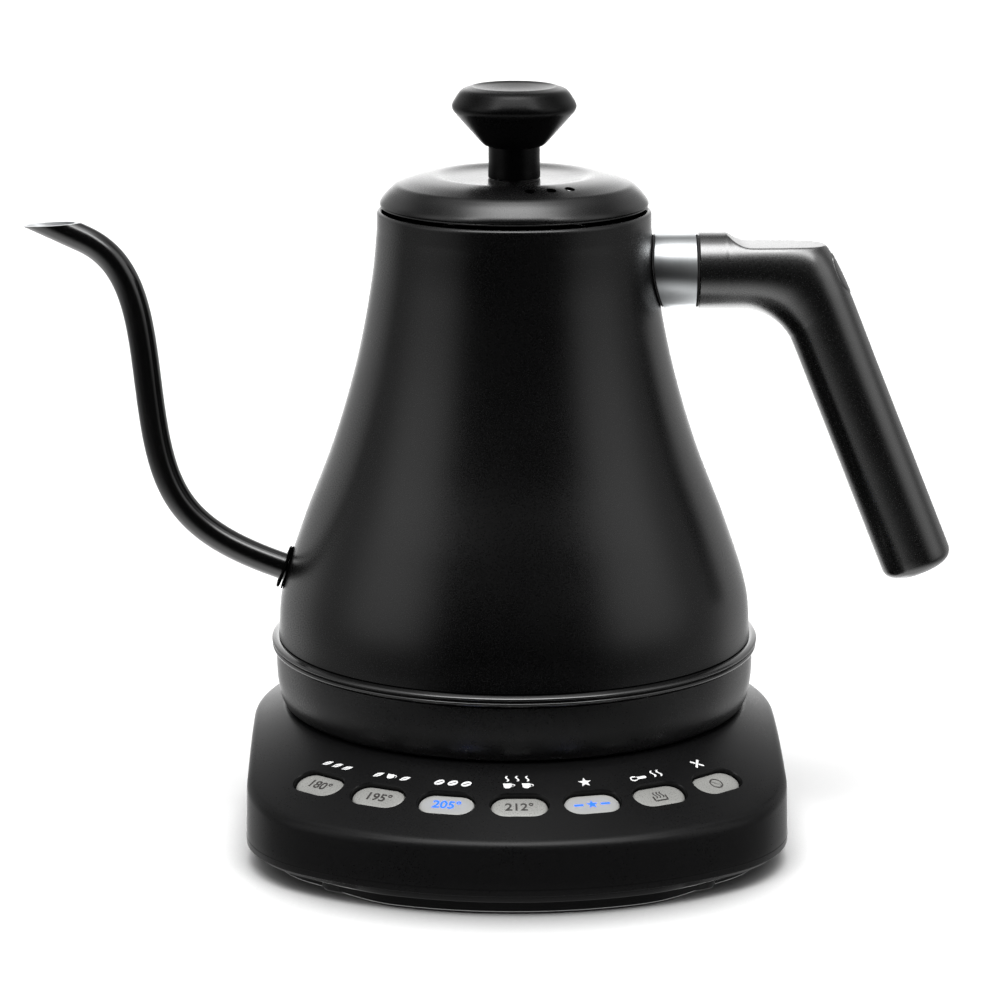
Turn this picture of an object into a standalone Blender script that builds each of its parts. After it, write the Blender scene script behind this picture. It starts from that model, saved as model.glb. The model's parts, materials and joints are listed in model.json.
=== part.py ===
"""Gooseneck kettle standing on its powered control base.

Frame: origin on the kettle's axis at table height, +X towards the handle,
-X towards the spout, -Y towards the control panel, +Z up. Units are metres.

The base carries seven sprung buttons. The kettle lifts off the base and turns
on its round connector, and the lid pulls out of the neck.
"""

from math import atan2, cos, pi, radians, sin, sqrt, tan

import bmesh
import bpy
from mathutils import Matrix, Vector

MM = 0.001
GAP = 0.3 * MM                  # clearance between neighbouring pieces
BIG_STEPS = 36                  # facets round the vessel, skirt and lid

# Vessel: a pear-shaped shell, given as (radius, height) down its outer wall
WALL = 1.0 * MM
NECK_TOP = 192.8 * MM
NECK_R = 42.5 * MM
MOUTH_R = 40.9 * MM
VESSEL_FOOT_R = 74.4 * MM
VESSEL_ANCHORS = (
    (42.5, 187.0), (44.2, 170.6), (49.0, 145.5), (56.4, 120.0),
    (66.1, 94.6), (72.9, 73.5), (74.4, 58.1),
)

# Skirt, trim ring and the round connector under the vessel
RING_TOP = 57.8 * MM
RING_BOTTOM = 54.2 * MM
RING_R = 76.7 * MM
SKIRT_TOP_R = 75.2 * MM
SKIRT_FOOT_R = 71.4 * MM
SKIRT_WALL = 2.2 * MM
SKIRT_LIP_R = 68.0 * MM
KETTLE_FOOT = 36.3 * MM
SOCKET_R = 18.0 * MM
SOCKET_WALL = 3.2 * MM

# Lid and knob
LID_R = 41.7 * MM
LID_RIM = 193.2 * MM
LID_RECESS_Z = 202.2 * MM
LID_SHEET = 0.8 * MM
PLUG_R = 38.0 * MM
PLUG_FLOOR = 181.0 * MM
STEM_R = 7.85 * MM
STEM_TOP = 212.2 * MM
KNOB_R = 19.3 * MM
KNOB_TOP = 230.8 * MM
VENT_R = 1.6 * MM
VENT_RING_R = 30.5 * MM
VENT_ANGLES = (8.0, 20.5, 32.5)     # degrees from the front, towards the handle

# Spout: a bent tube with a level cut across its tip
SPOUT_R = 4.3 * MM
SPOUT_BORE_R = 3.5 * MM
SPOUT_ROOT = Vector((-71.3, 0.0, 78.6)) * MM
SPOUT_ROOT_TILT = radians(19.5)
SPOUT_TIP_TILT = radians(25.0)
SPOUT_CUT_Z = 187.8 * MM
FLANGE_R = 6.8 * MM
FLANGE_TILT = radians(20.4)
FLANGE_FACE = 1.35 * MM             # from the vessel's wall at the spout's root
FLANGE_THICK = 0.8 * MM
GASKET_R = 6.9 * MM
GASKET_TILT = radians(17.4)
GASKET_FACE = 0.3 * MM
GASKET_THICK = 0.45 * MM

# Handle: a round arm that turns down into a straight grip
ARM_Z = 173.15 * MM
ARM_R = 11.9 * MM
FERRULE_R = 11.7 * MM
FERRULE_END = 56.2 * MM
HANDLE_START = 57.3 * MM
THUMB_FLAT_Z = 181.3 * MM
GRIP_ANGLE = radians(68.0)          # below the horizontal
GRIP_END_Z = 76.0 * MM
GRIP_WIDTH = 22.4 * MM
GRIP_DEPTH = 11.4 * MM              # half the grip's size across the object
BEND_R = 18.0 * MM
BEND_X = 70.2 * MM
STUD_R = 4.0 * MM
STUD_END = 80.0 * MM
HANDLE_SCREW_R = 1.6 * MM

# Base: plan outline of a rear arc, straight sides, corners and a front arc
BASE_HALF_W = 83.0 * MM
FRONT_R = 108.5 * MM
CORNER_R = 44.6 * MM
SEAM_Z = 9.0 * MM
SEAT_Z = 36.0 * MM
SEAT_R = 73.0 * MM
PANEL_SLOPE = radians(22.0)
HOUSING_WALL = 2.5 * MM
CREST_ROUND = 2.8 * MM
POST_R = 17.2 * MM
POST_TOP = 46.6 * MM
OUTLINE_STEPS = 48
PAN_UNDERSIDE = 0.6 * MM
PAN_FLOOR = 5.8 * MM

# Buttons along the sloping panel
BUTTON_COUNT = 7
BUTTON_PITCH = radians(13.86)
BUTTON_RING_R = 90.6 * MM
WELL_LENGTH = 17.6 * MM
WELL_WIDTH = 10.0 * MM
BUTTON_RECESS = 1.4 * MM
STEM_REACH = 11.0 * MM              # from the panel down to a button's foot
BOARD_Z = 11.5 * MM
BOARD_THICK = 1.6 * MM

# Cord outlet in the rear wall
GLAND_R = 5.0 * MM
GLAND_Z = 17.0 * MM
CORD_HOLE_R = 3.6 * MM
FACING_REAR = Matrix.Rotation(-pi / 2, 4, "X")

# Fasteners and feet, with their (x, y) places on the base in millimetres
SCREW_SPOTS = ((62, 34), (-62, 34), (66, -38), (-66, -38))
FOOT_SPOTS = ((47, 52.4), (-47, 52.4), (51.6, -82.6), (-51.6, -82.6))
SCREW_HEAD_R = 2.8 * MM
SCREW_SHANK_R = 1.25 * MM
FOOT_TOP = 2.4 * MM
FOOT_LENGTH = 15.0 * MM
FOOT_WIDTH = 9.0 * MM

# Finishes: colour, roughness, metallic
POWDER = ((0.016, 0.016, 0.017), 0.52, 0.0)
SATIN_BLACK = ((0.012, 0.012, 0.013), 0.34, 0.0)
MOULDED = ((0.014, 0.014, 0.015), 0.46, 0.0)
RUBBER = ((0.018, 0.018, 0.018), 0.8, 0.0)
SILICONE = ((0.55, 0.55, 0.53), 0.55, 0.0)
STEEL = ((0.62, 0.62, 0.61), 0.3, 1.0)
ALUMINIUM = ((0.74, 0.74, 0.75), 0.35, 1.0)
BRASS = ((0.78, 0.6, 0.26), 0.28, 1.0)
BUTTON_GREY = ((0.36, 0.36, 0.34), 0.38, 0.0)
BOARD_GREEN = ((0.03, 0.16, 0.07), 0.45, 0.0)
RELAY_BLUE = ((0.05, 0.11, 0.3), 0.4, 0.0)


# ---------------------------------------------------------------- helpers

def clear_scene():
    """Remove every object that is in the file."""
    for thing in list(bpy.data.objects):
        bpy.data.objects.remove(thing, do_unlink=True)


def make_collection(name):
    """Add a collection to the scene."""
    collection = bpy.data.collections.new(name)
    bpy.context.scene.collection.children.link(collection)
    return collection


def finish_object(thing, finish):
    """Give an object its own Principled material."""
    colour, roughness, metallic = finish
    material = bpy.data.materials.new(thing.name)
    material.use_nodes = True
    shader = material.node_tree.nodes["Principled BSDF"]
    shader.inputs["Base Color"].default_value = (*colour, 1.0)
    shader.inputs["Roughness"].default_value = roughness
    shader.inputs["Metallic"].default_value = metallic
    thing.data.materials.clear()
    thing.data.materials.append(material)
    return thing


def place(name, data, collection, matrix=None):
    """Add an object that shows data, at a place given by a matrix."""
    thing = bpy.data.objects.new(name, data)
    collection.objects.link(thing)
    if matrix is not None:
        thing.matrix_world = matrix
    return thing


def mesh_from(name, verts, edges=(), faces=()):
    """Make a mesh from points, edges and faces."""
    mesh = bpy.data.meshes.new(name)
    mesh.from_pydata([tuple(v) for v in verts], edges, faces)
    mesh.update()
    return mesh


def add_screw(thing, steps):
    """Turn an object's profile about its own Z axis."""
    screw = thing.modifiers.new("Turn", "SCREW")
    screw.axis = "Z"
    screw.angle = 2 * pi
    screw.steps = steps
    screw.render_steps = steps
    screw.use_merge_vertices = True
    screw.merge_threshold = 0.00001
    screw.use_smooth_shade = True
    return screw


def turned(name, profile, finish, steps=32, closed=False, matrix=None, where=None):
    """Turn a profile of (radius, height), listed top to bottom down the outside.

    A closed profile is a ring's section; an open one starts and ends on the axis.
    """
    verts = [(radius, 0.0, height) for radius, height in profile]
    edges = [(i, i + 1) for i in range(len(verts) - 1)]
    if closed:
        edges.append((len(verts) - 1, 0))
    thing = place(name, mesh_from(name, verts, edges), where or PARTS, matrix)
    add_screw(thing, steps)
    return finish_object(thing, finish)


def ring_profile(outer, inner, top, bottom, ease=0.0):
    """Section of a flat ring, with its outer edges eased."""
    return [
        (inner, top), (outer - ease, top), (outer, top - ease),
        (outer, bottom + ease), (outer - ease, bottom), (inner, bottom),
    ] if ease else [(inner, top), (outer, top), (outer, bottom), (inner, bottom)]


def smooth_path(anchors, per_span):
    """Points on a Catmull-Rom curve through the anchors."""
    points = [Vector(a) for a in anchors]
    ends = [2 * points[0] - points[1]] + points + [2 * points[-1] - points[-2]]
    path = []
    for before, start, stop, after in zip(ends, ends[1:], ends[2:], ends[3:]):
        for step in range(per_span):
            t = step / per_span
            path.append(0.5 * (
                2 * start + (stop - before) * t
                + (2 * before - 5 * start + 4 * stop - after) * t ** 2
                + (3 * start - before - 3 * stop + after) * t ** 3))
    return path + [points[-1]]


def loft(name, rings, finish, joined=False):
    """Skin rings of equal point counts, capped or joined end to start."""
    count = len(rings[0])
    verts = [point for ring in rings for point in ring]
    faces = []
    pairs = [(i, i + 1) for i in range(len(rings) - 1)]
    if joined:
        pairs.append((len(rings) - 1, 0))
    else:
        last = (len(rings) - 1) * count
        faces.append(tuple(reversed(range(count))))
        faces.append(tuple(last + i for i in range(count)))
    for low, high in pairs:
        for i in range(count):
            j = (i + 1) % count
            faces.append((low * count + i, low * count + j, high * count + j, high * count + i))
    mesh = mesh_from(name, verts, (), faces)
    shape = bmesh.new()
    shape.from_mesh(mesh)
    bmesh.ops.recalc_face_normals(shape, faces=shape.faces)
    shape.to_mesh(mesh)
    shape.free()
    mesh.shade_smooth()
    mesh.set_sharp_from_angle(angle=radians(35))
    return finish_object(place(name, mesh, PARTS), finish)


def box(name, size, centre, finish, ease=0.0, where=None):
    """A box of a size about a centre, with optional eased edges."""
    mesh = bpy.data.meshes.new(name)
    shape = bmesh.new()
    bmesh.ops.create_cube(shape, size=1.0)
    bmesh.ops.scale(shape, vec=size, verts=shape.verts)
    shape.to_mesh(mesh)
    shape.free()
    thing = place(name, mesh, where or PARTS, Matrix.Translation(centre))
    if ease:
        bevel = thing.modifiers.new("Ease", "BEVEL")
        bevel.width = ease
        bevel.segments = 1
    return finish_object(thing, finish)


def as_cutter(thing):
    """Keep an object as a guide for cutting only."""
    thing.hide_render = True
    thing.display_type = "WIRE"
    return thing


def cylinder_cutter(name, radius, start, end, steps=20):
    """A cutting rod between two points."""
    axis = end - start
    matrix = Matrix.Translation(start) @ axis.to_track_quat("Z", "Y").to_matrix().to_4x4()
    profile = [(0.0, axis.length), (radius, axis.length), (radius, 0.0), (0.0, 0.0)]
    return as_cutter(turned(name, profile, STEEL, steps, matrix=matrix, where=CUTTERS))


def cut(thing, cutter, operation="DIFFERENCE"):
    """Cut, join or intersect a piece with a guide object."""
    boolean = thing.modifiers.new(cutter.name, "BOOLEAN")
    boolean.operation = operation
    boolean.solver = "EXACT"
    boolean.object = cutter
    return thing


def stadium(length, width, steps=5):
    """Outline of a pill: two half circles joined by straight sides."""
    radius = width / 2
    reach = length / 2 - radius
    outline = []
    for side in (1, -1):
        for step in range(steps + 1):
            angle = -pi / 2 + pi * step / steps
            outline.append((side * (reach + radius * cos(angle)), side * radius * sin(angle)))
    return outline


def flat_prism(name, outline, low, high, finish, where=None):
    """A plate from a flat outline, between two heights of its own frame."""
    curve = bpy.data.curves.new(name, "CURVE")
    curve.dimensions = "2D"
    curve.fill_mode = "BOTH"
    curve.extrude = (high - low) / 2
    spline = curve.splines.new("POLY")
    spline.points.add(len(outline) - 1)
    for point, (x, y) in zip(spline.points, outline):
        point.co = (x, y, 0.0, 1.0)
    spline.use_cyclic_u = True
    return mesh_of_curve(curve, finish, where, Matrix.Translation((0, 0, (low + high) / 2)))


def mesh_of_curve(curve, finish, where=None, shift=None):
    """Turn a curve into a closed mesh object of the same name."""
    guide = place(curve.name + "_guide", curve, CUTTERS)
    bpy.context.view_layer.update()
    evaluated = guide.evaluated_get(bpy.context.evaluated_depsgraph_get())
    mesh = bpy.data.meshes.new_from_object(evaluated)
    name = curve.name
    bpy.data.objects.remove(guide, do_unlink=True)
    shape = bmesh.new()
    shape.from_mesh(mesh)
    bmesh.ops.remove_doubles(shape, verts=shape.verts, dist=0.00001)
    if shift is not None:
        bmesh.ops.transform(shape, matrix=shift, verts=shape.verts)
    bmesh.ops.recalc_face_normals(shape, faces=shape.faces)
    shape.to_mesh(mesh)
    shape.free()
    return finish_object(place(name, mesh, where or PARTS), finish)


def join_meshes(name, things, collection):
    """Gather cutters into one object that cuts them all at once."""
    shape = bmesh.new()
    for thing in things:
        piece = thing.data.copy()
        piece.transform(thing.matrix_world)
        shape.from_mesh(piece)
        bpy.data.meshes.remove(piece)
        bpy.data.objects.remove(thing, do_unlink=True)
    mesh = bpy.data.meshes.new(name)
    shape.to_mesh(mesh)
    shape.free()
    return as_cutter(place(name, mesh, collection))


# ------------------------------------------------------------ base shape

def outline_radius(angle, inset=0.0):
    """Distance from the axis to the base's plan outline; angle 0 is the front."""
    turn = abs((angle + pi) % (2 * pi) - pi)
    corner_x = BASE_HALF_W - CORNER_R
    corner_y = sqrt((FRONT_R - CORNER_R) ** 2 - corner_x ** 2)
    if turn <= atan2(corner_x, corner_y):
        return FRONT_R - inset
    if turn <= atan2(BASE_HALF_W - inset, corner_y):
        along = sin(turn) * corner_x + cos(turn) * corner_y
        off = corner_x ** 2 + corner_y ** 2 - (CORNER_R - inset) ** 2
        return along + sqrt(along ** 2 - off)
    if turn <= pi / 2:
        return (BASE_HALF_W - inset) / sin(turn)
    return BASE_HALF_W - inset


def plinth_inset(angle):
    """How far the plinth is set back: little along the front, more at the corners."""
    turn = abs((angle + pi) % (2 * pi) - pi)
    share = min(1.0, max(0.0, (turn - radians(20)) / radians(18)))
    return 2.4 * MM + 5.4 * MM * share ** 2 * (3 - 2 * share)


def panel_height(radius):
    """Height of the sloping top at a distance from the axis."""
    return SEAT_Z - max(0.0, radius - SEAT_R) * tan(PANEL_SLOPE)


def around(radius_height):
    """A ring of points from a function of angle that gives radius and height."""
    ring = []
    for step in range(OUTLINE_STEPS):
        angle = 2 * pi * step / OUTLINE_STEPS
        radius, height = radius_height(angle)
        ring.append(Vector((radius * sin(angle), -radius * cos(angle), height)))
    return ring


def crest_point(angle, t):
    """A point on the round edge between the base's wall and its sloping top."""
    edge = outline_radius(angle, 0.5 * MM)
    low = Vector((edge, panel_height(edge) - CREST_ROUND))
    peak = Vector((edge, panel_height(edge)))
    inner = edge - CREST_ROUND * cos(PANEL_SLOPE)
    high = Vector((inner, panel_height(inner)))
    return low * (1 - t) ** 2 + peak * 2 * t * (1 - t) + high * t ** 2


def make_base_housing():
    """Upper shell of the base, with its seat, wells, post hole and cord outlet."""
    hole = POST_R + GAP
    lid_under = SEAT_Z - HOUSING_WALL

    def inner_crest(angle):
        radius = outline_radius(angle, HOUSING_WALL + 1.5 * MM)
        return radius, panel_height(radius) - HOUSING_WALL - 0.4 * MM

    rings = [
        around(lambda a: (outline_radius(a), SEAM_Z + GAP / 2)),
        around(lambda a: crest_point(a, 0.0)),
        around(lambda a: crest_point(a, 0.35)),
        around(lambda a: crest_point(a, 0.7)),
        around(lambda a: crest_point(a, 1.0)),
        around(lambda a: (SEAT_R, SEAT_Z)),
        around(lambda a: (hole, SEAT_Z)),
        around(lambda a: (hole, lid_under)),
        around(lambda a: (SEAT_R - 1.0 * MM, lid_under)),
        around(inner_crest),
        around(lambda a: (outline_radius(a, HOUSING_WALL), panel_height(outline_radius(a)) - 6.0 * MM)),
        around(lambda a: (outline_radius(a, HOUSING_WALL), SEAM_Z + GAP / 2)),
    ]
    housing = loft("base_housing", rings, MOULDED, joined=True)
    bosses = []
    holes = []
    for x, y in SCREW_SPOTS:
        spot = Vector((x, y, 0)) * MM
        top = panel_height(spot.length) - 1.2 * MM
        bosses.append(rod_mesh(3.6 * MM, spot, PAN_FLOOR + GAP, top))
        holes.append(rod_mesh(SCREW_SHANK_R + GAP, spot, 3.0 * MM, 17.0 * MM))
    cut(housing, join_meshes("boss_guide", bosses, CUTTERS), "UNION")
    wells = [pill_mesh(i, WELL_LENGTH, WELL_WIDTH, -6.0 * MM, 4.0 * MM) for i in range(BUTTON_COUNT)]
    outlet = rod_mesh(GLAND_R + GAP, Vector(), 0.0, 12.0 * MM)
    outlet.matrix_world = Matrix.Translation((0, BASE_HALF_W - 8 * MM, GLAND_Z)) @ FACING_REAR
    bpy.context.view_layer.update()
    cut(housing, join_meshes("housing_cuts", holes + wells + [outlet], CUTTERS))
    return housing


def rod_mesh(radius, spot, low, high, steps=12):
    """An upright rod in the cutters' collection, as a plain mesh."""
    mesh = bpy.data.meshes.new("rod")
    shape = bmesh.new()
    bmesh.ops.create_cone(
        shape, cap_ends=True, segments=steps, radius1=radius, radius2=radius, depth=high - low)
    bmesh.ops.translate(shape, vec=(spot.x, spot.y, (low + high) / 2), verts=shape.verts)
    shape.to_mesh(mesh)
    shape.free()
    return place("rod", mesh, CUTTERS)


def button_matrix(index):
    """Frame of a button: origin on the panel, X along the row, Z out of the panel."""
    angle = (index - (BUTTON_COUNT - 1) / 2) * BUTTON_PITCH
    outward = Vector((sin(angle), -cos(angle), 0.0))
    row = Vector((cos(angle), sin(angle), 0.0))
    normal = outward * sin(PANEL_SLOPE) + Vector((0, 0, cos(PANEL_SLOPE)))
    spot = outward * BUTTON_RING_R + Vector((0, 0, panel_height(BUTTON_RING_R)))
    up = normal.cross(row)
    frame = Matrix((row, up, normal)).transposed().to_4x4()
    return Matrix.Translation(spot) @ frame


def pill_mesh(index, length, width, low, high):
    """A pill-shaped plate in a button's frame, as a cutting mesh."""
    pill = flat_prism(f"pill_{index}", stadium(length, width), low, high, BUTTON_GREY, CUTTERS)
    pill.matrix_world = button_matrix(index)
    bpy.context.view_layer.update()
    return pill


def make_button(index):
    """A cap with a retaining lip and a stem, sliding square to the panel."""
    cap_length = WELL_LENGTH - 2 * GAP
    cap_width = WELL_WIDTH - 2 * GAP
    lip_top = -4.2 * MM
    layers = (
        (cap_length - 1.0 * MM, cap_width - 1.0 * MM, -BUTTON_RECESS),
        (cap_length, cap_width, -BUTTON_RECESS - 0.5 * MM),
        (cap_length, cap_width, lip_top),
        (WELL_LENGTH + 2.0 * MM, WELL_WIDTH + 2.0 * MM, lip_top),
        (WELL_LENGTH + 2.0 * MM, WELL_WIDTH + 2.0 * MM, lip_top - 1.2 * MM),
        (4.4 * MM, 4.0 * MM, lip_top - 1.2 * MM),
        (4.4 * MM, 4.0 * MM, -STEM_REACH),
    )
    rings = []
    for length, width, height in layers:
        outline = stadium(length, width, 4)
        rings.append([Vector((x, y, height)) for x, y in outline])
    button = loft(f"button_{index + 1}", rings, BUTTON_GREY)
    button.matrix_world = button_matrix(index)
    return button


def make_switch(index):
    """A square switch under a button's stem."""
    tip = button_matrix(index) @ Vector((0, 0, -STEM_REACH))
    centre = Vector((tip.x, tip.y, 0.0))
    height = 3.4 * MM
    low = BOARD_Z + BOARD_THICK + GAP
    switch = box(
        f"tact_switch_{index + 1}", (6 * MM, 6 * MM, height), Vector((0, 0, 0)), MOULDED, 0.3 * MM)
    turn = Matrix.Rotation(atan2(centre.x, -centre.y), 4, "Z")
    switch.matrix_world = Matrix.Translation((centre.x, centre.y, low + height / 2)) @ turn
    return switch


def sector(inner, outer, half_angle, steps):
    """Outline of a part of a ring about the axis, centred on the front."""
    outline = []
    for radius, way in ((outer, 1), (inner, -1)):
        for step in range(steps + 1):
            angle = way * half_angle * (2 * step / steps - 1)
            outline.append((radius * sin(angle), -radius * cos(angle)))
    return outline


def make_boards():
    """Control board under the buttons, and the power board with its relay."""
    top = BOARD_Z + BOARD_THICK
    flat_prism("control_board", sector(79 * MM, 97 * MM, radians(49), 14), BOARD_Z, top, BOARD_GREEN)
    box("power_board", (62 * MM, 34 * MM, BOARD_THICK),
        Vector((0, 47 * MM, BOARD_Z + BOARD_THICK / 2)), BOARD_GREEN)
    box("relay", (19 * MM, 15.5 * MM, 14 * MM),
        Vector((16 * MM, 47 * MM, top + GAP + 7 * MM)), RELAY_BLUE, 0.5 * MM)


def make_base_pan():
    """Lower tray of the base: a tapering band, a set-back plinth and a floor."""
    band_foot = 4.2 * MM
    rim = SEAM_Z - GAP / 2
    rings = [
        around(lambda a: (outline_radius(a, plinth_inset(a) + 0.6 * MM), PAN_UNDERSIDE)),
        around(lambda a: (outline_radius(a, plinth_inset(a)), PAN_UNDERSIDE + 0.5 * MM)),
        around(lambda a: (outline_radius(a, plinth_inset(a) - 0.2 * MM), band_foot)),
        around(lambda a: (outline_radius(a, plinth_inset(a) * 0.35), band_foot)),
        around(lambda a: (outline_radius(a), rim - 0.8 * MM)),
        around(lambda a: (outline_radius(a), rim)),
        around(lambda a: (outline_radius(a, HOUSING_WALL), rim)),
        around(lambda a: (outline_radius(a, HOUSING_WALL + 3.5 * MM), PAN_FLOOR)),
    ]
    pan = loft("base_pan", rings, MOULDED)
    pockets = []
    for x, y in SCREW_SPOTS:
        spot = Vector((x, y, 0)) * MM
        pockets.append(rod_mesh(SCREW_SHANK_R + GAP, spot, -2.0 * MM, PAN_FLOOR + 2.0 * MM))
    cut(pan, join_meshes("pan_holes", pockets, CUTTERS))
    recesses = [rod_mesh(SCREW_HEAD_R + GAP, Vector((x, y, 0)) * MM, -1.0 * MM, 2.4 * MM)
                for x, y in SCREW_SPOTS]
    cut(pan, join_meshes("pan_recesses", recesses, CUTTERS))
    notches = [foot_mesh(x, y, GAP, -1.0 * MM, FOOT_TOP + GAP) for x, y in FOOT_SPOTS]
    cut(pan, join_meshes("pan_notches", notches, CUTTERS))
    return pan


def foot_matrix(x, y):
    """Frame of a foot: on the table, its length along the outline."""
    return Matrix.Translation((x * MM, y * MM, 0)) @ Matrix.Rotation(atan2(x, -y), 4, "Z")


def foot_mesh(x, y, grow, low, high):
    """A pill-shaped pad laid along the outline at (x, y), as a cutting mesh."""
    outline = stadium(FOOT_LENGTH + 2 * grow, FOOT_WIDTH + 2 * grow)
    pad = flat_prism("pad", outline, low, high, RUBBER, CUTTERS)
    pad.matrix_world = foot_matrix(x, y)
    bpy.context.view_layer.update()
    return pad


def make_feet():
    """Rubber pads that carry the base, pressed into the tray's underside."""
    for index, (x, y) in enumerate(FOOT_SPOTS, 1):
        rings = []
        for inset, height in ((0.6, 0.0), (0.0, 0.6), (0.0, FOOT_TOP / MM)):
            outline = stadium(FOOT_LENGTH - 2 * inset * MM, FOOT_WIDTH - 2 * inset * MM)
            rings.append([Vector((px, py, height * MM)) for px, py in outline])
        foot = loft(f"foot_{index}", rings, RUBBER)
        foot.matrix_world = foot_matrix(x, y)


def make_base_screws():
    """Four screws up through the tray into the housing's bosses."""
    under_head = 2.1 * MM
    for index, (x, y) in enumerate(SCREW_SPOTS, 1):
        profile = [
            (0.0, 15.0 * MM), (SCREW_SHANK_R, 14.0 * MM), (SCREW_SHANK_R, under_head),
            (SCREW_HEAD_R, under_head), (SCREW_HEAD_R, 1.0 * MM), (SCREW_HEAD_R - 0.5 * MM, 0.5 * MM),
            (0.0, 0.5 * MM),
        ]
        turned(f"base_screw_{index}", profile, STEEL, 12, matrix=Matrix.Translation((x * MM, y * MM, 0)))


def make_cord_gland():
    """Flanged bush in the rear wall, where the power cord leaves."""
    flange = GLAND_R + 1.6 * MM
    face = BASE_HALF_W
    profile = [
        (CORD_HOLE_R, face + 2.2 * MM), (flange - 0.8 * MM, face + 2.2 * MM),
        (flange, face + 1.4 * MM), (flange, face + GAP),
        (GLAND_R, face + GAP), (GLAND_R, face - 7.0 * MM), (CORD_HOLE_R, face - 7.0 * MM),
    ]
    matrix = Matrix.Translation((0, 0, GLAND_Z)) @ FACING_REAR
    return turned("cord_gland", profile, RUBBER, 16, closed=True, matrix=matrix)


def make_base_post():
    """Round connector on the base, with a centre pin and one contact ring."""
    shelf = SEAT_Z - HOUSING_WALL - GAP
    groove_floor = POST_TOP - 5.0 * MM
    profile = [
        (2.0 * MM, POST_TOP), (9.0 * MM, POST_TOP), (9.0 * MM, groove_floor),
        (12.5 * MM, groove_floor), (12.5 * MM, POST_TOP), (POST_R - 1.2 * MM, POST_TOP),
        (POST_R, POST_TOP - 1.2 * MM), (POST_R, shelf), (POST_R + 4.0 * MM, shelf),
        (POST_R + 4.0 * MM, shelf - 2.0 * MM), (2.0 * MM, shelf - 2.0 * MM),
    ]
    turned("base_post", profile, MOULDED, 24, closed=True)
    pin = [(0.0, POST_TOP - 0.5 * MM), (1.6 * MM, POST_TOP - 1.2 * MM),
           (1.6 * MM, shelf - 4.0 * MM), (0.0, shelf - 4.0 * MM)]
    turned("contact_pin", pin, BRASS, 16)
    ring = ring_profile(12.1 * MM, 9.4 * MM, POST_TOP - 2.0 * MM, groove_floor + GAP)
    turned("contact_ring", ring, BRASS, 24, closed=True)


def make_base():
    """Everything that stays on the table."""
    make_base_housing()
    make_base_pan()
    make_base_post()
    for index in range(BUTTON_COUNT):
        make_button(index)
        make_switch(index)
    make_boards()
    make_cord_gland()
    make_feet()
    make_base_screws()


# ---------------------------------------------------------------- kettle

def vessel_profile(per_span=2, swell=0.0):
    """The vessel's outer wall, top to bottom, moved outward by swell."""
    anchors = [(radius * MM, height * MM) for radius, height in VESSEL_ANCHORS]
    points = smooth_path(anchors, per_span)
    moved = []
    for i, point in enumerate(points):
        ahead = points[min(i + 1, len(points) - 1)]
        behind = points[max(i - 1, 0)]
        run = (ahead - behind).normalized()
        moved.append((point.x - run.y * swell, point.y + run.x * swell))
    return moved


def make_vessel():
    """The shell: a rolled rim, the pear-shaped wall and a hole for the spout."""
    rim = [(MOUTH_R, NECK_TOP), (NECK_R - 0.6 * MM, NECK_TOP), (NECK_R, NECK_TOP - 0.9 * MM)]
    outer = rim + vessel_profile()
    inner = [
        (radius - WALL, height) for radius, height in reversed(vessel_profile())
    ] + [(MOUTH_R, NECK_TOP - 1.8 * MM)]
    vessel = turned("vessel", outer + inner, POWDER, BIG_STEPS, closed=True)
    along = Vector((-cos(SPOUT_ROOT_TILT), 0, sin(SPOUT_ROOT_TILT)))
    start = SPOUT_ROOT - along * 8 * MM
    cut(vessel, cylinder_cutter("spout_hole", SPOUT_R + GAP, start, start + along * 13 * MM))
    return vessel


def make_vessel_floor():
    """Steel floor with its heater disc, tubular heater and sensor."""
    inside = VESSEL_FOOT_R - WALL - 0.4 * MM
    hole = 3.4 * MM
    low = 58.4 * MM
    plate = ring_profile(inside, hole, low + 1.2 * MM, low)
    turned("vessel_floor", plate, STEEL, BIG_STEPS, closed=True)
    disc = ring_profile(46.0 * MM, hole, low - GAP, low - 2.3 * MM, 0.4 * MM)
    turned("heat_spreader", disc, ALUMINIUM, 24, closed=True)
    probe = [
        (0.0, 61.4 * MM), (2.0 * MM, 61.0 * MM), (2.9 * MM, 60.0 * MM),
        (2.9 * MM, 55.0 * MM), (5.0 * MM, 55.0 * MM), (5.0 * MM, 52.8 * MM), (0.0, 52.8 * MM),
    ]
    turned("temperature_probe", probe, STEEL, 20)
    make_heating_element(low - 2.6 * MM)


def make_heating_element(ceiling):
    """A nearly closed ring of tube whose two ends turn down."""
    tube = 3.1 * MM
    bend = 36.0 * MM
    level = ceiling - tube
    curve = bpy.data.curves.new("heating_element", "CURVE")
    curve.dimensions = "3D"
    curve.bevel_depth = tube
    curve.bevel_resolution = 2
    curve.use_fill_caps = True
    steps = 18
    path = [Vector((bend * cos(a), bend * sin(a), level))
            for a in (radians(20 + 320 * step / steps) for step in range(steps + 1))]
    path.insert(0, path[0] + Vector((0.5, -1.5, -6.0)) * MM)
    path.append(path[-1] + Vector((0.5, 1.5, -6.0)) * MM)
    spline = curve.splines.new("POLY")
    spline.points.add(len(path) - 1)
    for point, spot in zip(spline.points, path):
        point.co = (*spot, 1.0)
    return mesh_of_curve(curve, STEEL)


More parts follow.
